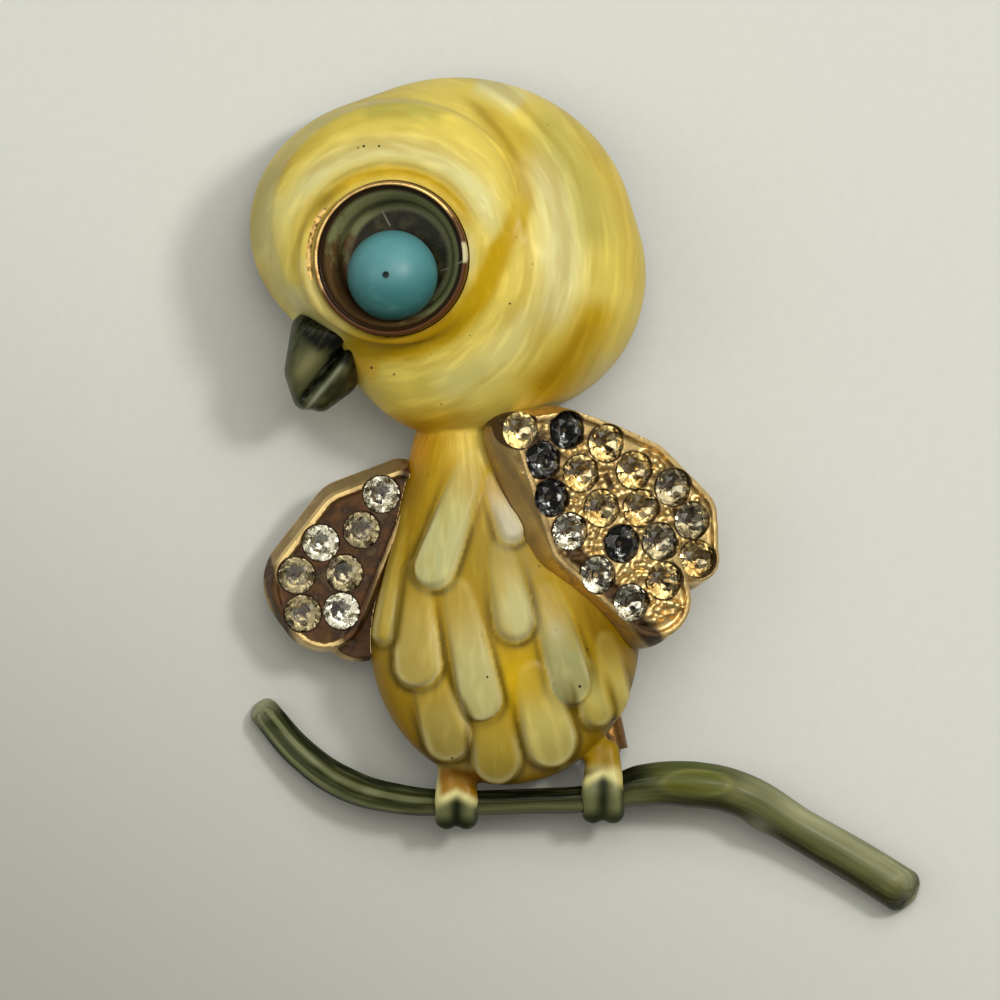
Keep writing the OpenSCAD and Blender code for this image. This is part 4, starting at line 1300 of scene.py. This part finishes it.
pattern_stone = stretch_skin(
    [ring(table_r, crown_h, 8, 22.5), ring(stone_r * 0.82, crown_h * 0.5, 8),
     ring(stone_r, 0, 16), ring(stone_r, -girdle_h, 16),
     ring(stone_r * 0.5, -girdle_h - pavilion_h * 0.56, 8, 22.5),
     ring(stone_r * 0.04, -girdle_h - pavilion_h, 8)], "rhinestone")


def foil(name, colour, stain, roughness):
    """Silver foil behind the glass, with stains in it."""
    material, tree, shader = new_material(name)
    place = add_node(tree, "TexCoord")["Object"]
    stains = between(tree, noise(tree, place, 1500.0, 3.0), 0.48, 0.63)
    tree.links.new(mixed(tree, stains, shade(*colour), shade(*stain)), shader.inputs["Base Color"])
    shader.inputs["Metallic"].default_value = 1.0
    shader.inputs["Roughness"].default_value = roughness
    return material


def stone_glass(name, colour, worn):
    """Cut glass, scuffed and tinted in patches."""
    material, tree, shader = new_material(name)
    place = add_node(tree, "TexCoord")["Object"]
    scuffs = noise(tree, place, 3000.0, 3.0)
    tint = between(tree, noise(tree, place, 700.0, 2.0), 0.4, 0.7)
    tree.links.new(mixed(tree, tint, shade(*colour), shade(*worn)), shader.inputs["Base Color"])
    tree.links.new(between(tree, scuffs, 0.4, 0.8, 0.02, 0.14), shader.inputs["Roughness"])
    shader.inputs["Transmission Weight"].default_value = 1.0
    shader.inputs["IOR"].default_value = 1.52
    return material


stone_looks = {
    "bright": (stone_glass("glass_clear", (252, 252, 248), (240, 238, 228)),
               foil("foil_bright", (236, 234, 224), (120, 112, 92), 0.07)),
    "yellowed": (stone_glass("glass_yellowed", (254, 251, 241), (247, 239, 216)),
                 foil("foil_yellowed", (236, 224, 188), (166, 142, 94), 0.1)),
    "dark": (stone_glass("glass_smoky", (244, 244, 242), (216, 216, 212)),
             foil("foil_lost", (22, 22, 23), (214, 215, 212), 0.1)),
    "dull": (stone_glass("glass_dull", (250, 249, 243), (236, 232, 218)),
             foil("foil_dull", (204, 196, 174), (84, 76, 58), 0.1)),
}
left_looks = ["bright", "dull", "bright", "dull", "dull", "bright", "dull"]
right_looks = ["yellowed", "dark", "dark", "dark", "yellowed", "yellowed", "bright", "yellowed",
               "yellowed", "yellowed", "dark", "bright", "bright", "yellowed", "dull", "dull",
               "yellowed", "dull"]
most_tilt = 2
random.seed(11)
for wing, looks in ((left_wing, left_looks), (right_wing, right_looks)):
    for number, (row, look) in enumerate(zip(wing.stones, looks), 1):
        node_name = wing.name.replace("wing", f"stone_{number}")
        stone = pattern_stone.copy()
        stone.data = pattern_stone.data.copy()
        stone.name = stone.data.name = node_name + "_glass"
        bpy.context.collection.objects.link(stone)
        x, y = wing.place(row)
        tilt = Matrix.Rotation(math.radians(random.uniform(-most_tilt, most_tilt)), 4, "X")
        spin = Matrix.Rotation(random.uniform(0, math.pi / 4), 4, "Z")
        seated = Matrix.Translation((x, y, -recess + girdle_h))
        stone.matrix_world = wing.seat @ seated @ tilt @ spin
        axis = wing.seat.to_3x3() @ Vector((0, 0, 1))
        settle(stone)
        dress(stone, *stone_looks[look])
        for face in stone.data.polygons:
            face.material_index = int(face.normal.dot(axis) < -0.1)
        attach(stone, "root")
        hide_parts(node_name)
bpy.data.objects.remove(pattern_stone)

# The pin. Hinge, stem and catch are hidden behind the bird, apart from the catch's end beside
# its right foot. They are plain drawn brass, and keep the solid's own shape.
pin_brass = gold_plate("pin_brass", (132, 96, 48), (52, 32, 14), 0.9, roughness=0.34)[0]
dress(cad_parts["pin_back"], pin_brass)

# The table: matt off-white card, under soft light from a window up to the right. Towards
# the lower left the card is painted darker, as painted shade.
bpy.ops.mesh.primitive_plane_add(size=1.6, location=(0, 0, -0.00002))
table = bpy.context.object
table.name = "table_top"
card, tree, shader = new_material("pale_card")
place = add_node(tree, "TexCoord")["Object"]
grain = noise(tree, place, 1200.0, 3.0)
card_colour = mixed(tree, grain, shade(207, 208, 201), shade(213, 214, 207))
axes = parted(tree, place)
# Towards the lower left the card is painted darker: painted shade of the light's fall-off.
low_left = plus(tree, times(tree, axes["X"], -0.6 / mm), times(tree, axes["Y"], -0.9 / mm))
painted_shade_to_low_left = between(tree, low_left, -4.0, 62.0, 0.0, 0.9)
card_colour = mixed(tree, painted_shade_to_low_left, card_colour, shade(160, 159, 149))
tree.links.new(card_colour, shader.inputs["Base Color"])
shader.inputs["Roughness"].default_value = 0.75
shader.inputs["Specular IOR Level"].default_value = 0.2
dress(table, card)


def soft_light(name, place, size, power, colour):
    """A round soft light that shines on the brooch."""
    data = bpy.data.lights.new(name, "AREA")
    data.shape, data.size, data.energy, data.color = "DISK", size, power, colour
    light = bpy.data.objects.new(name, data)
    bpy.context.collection.objects.link(light)
    light.location = place
    light.rotation_euler = (-Vector(place)).to_track_quat("-Z", "Y").to_euler()


soft_light("window", (0.1, 0.2, 0.4), 0.42, 0.98, (1.0, 0.995, 0.97))
soft_light("lamp", (0.2, 0.12, 0.36), 0.07, 0.62, (1.0, 0.98, 0.94))
soft_light("left_fill", (-0.3, 0.06, 0.3), 0.3, 0.3, (1.0, 0.99, 0.96))
soft_light("ceiling", (-0.1, 0.1, 0.8), 0.6, 0.87, (1.0, 0.99, 0.95))
world = bpy.data.worlds.new("room") if bpy.context.scene.world is None else bpy.context.scene.world
bpy.context.scene.world = world
world.use_nodes = True
sky = world.node_tree.nodes["Background"]
sky.inputs["Color"].default_value = shade(214, 212, 202)
sky.inputs["Strength"].default_value = 0.28
bpy.context.scene.view_settings.view_transform = "Standard"

# The camera: straight above the brooch, as the photograph was taken.
photo_pixels = 1000
pixels_per_mm = 16
photo_origin = (585, 495)
focus_height = 4 * mm
camera_height = 900 * mm
camera_data = bpy.data.cameras.new("camera")
camera = bpy.data.objects.new("camera", camera_data)
bpy.context.collection.objects.link(camera)
camera.location = ((photo_pixels / 2 - photo_origin[0]) / pixels_per_mm * mm,
                   (photo_origin[1] - photo_pixels / 2) / pixels_per_mm * mm, camera_height)
frame_width = photo_pixels / pixels_per_mm * mm
camera_data.sensor_width = 36
camera_data.lens = camera_data.sensor_width * (camera_height - focus_height) / frame_width
camera_data.clip_start = 0.01
bpy.context.scene.camera = camera
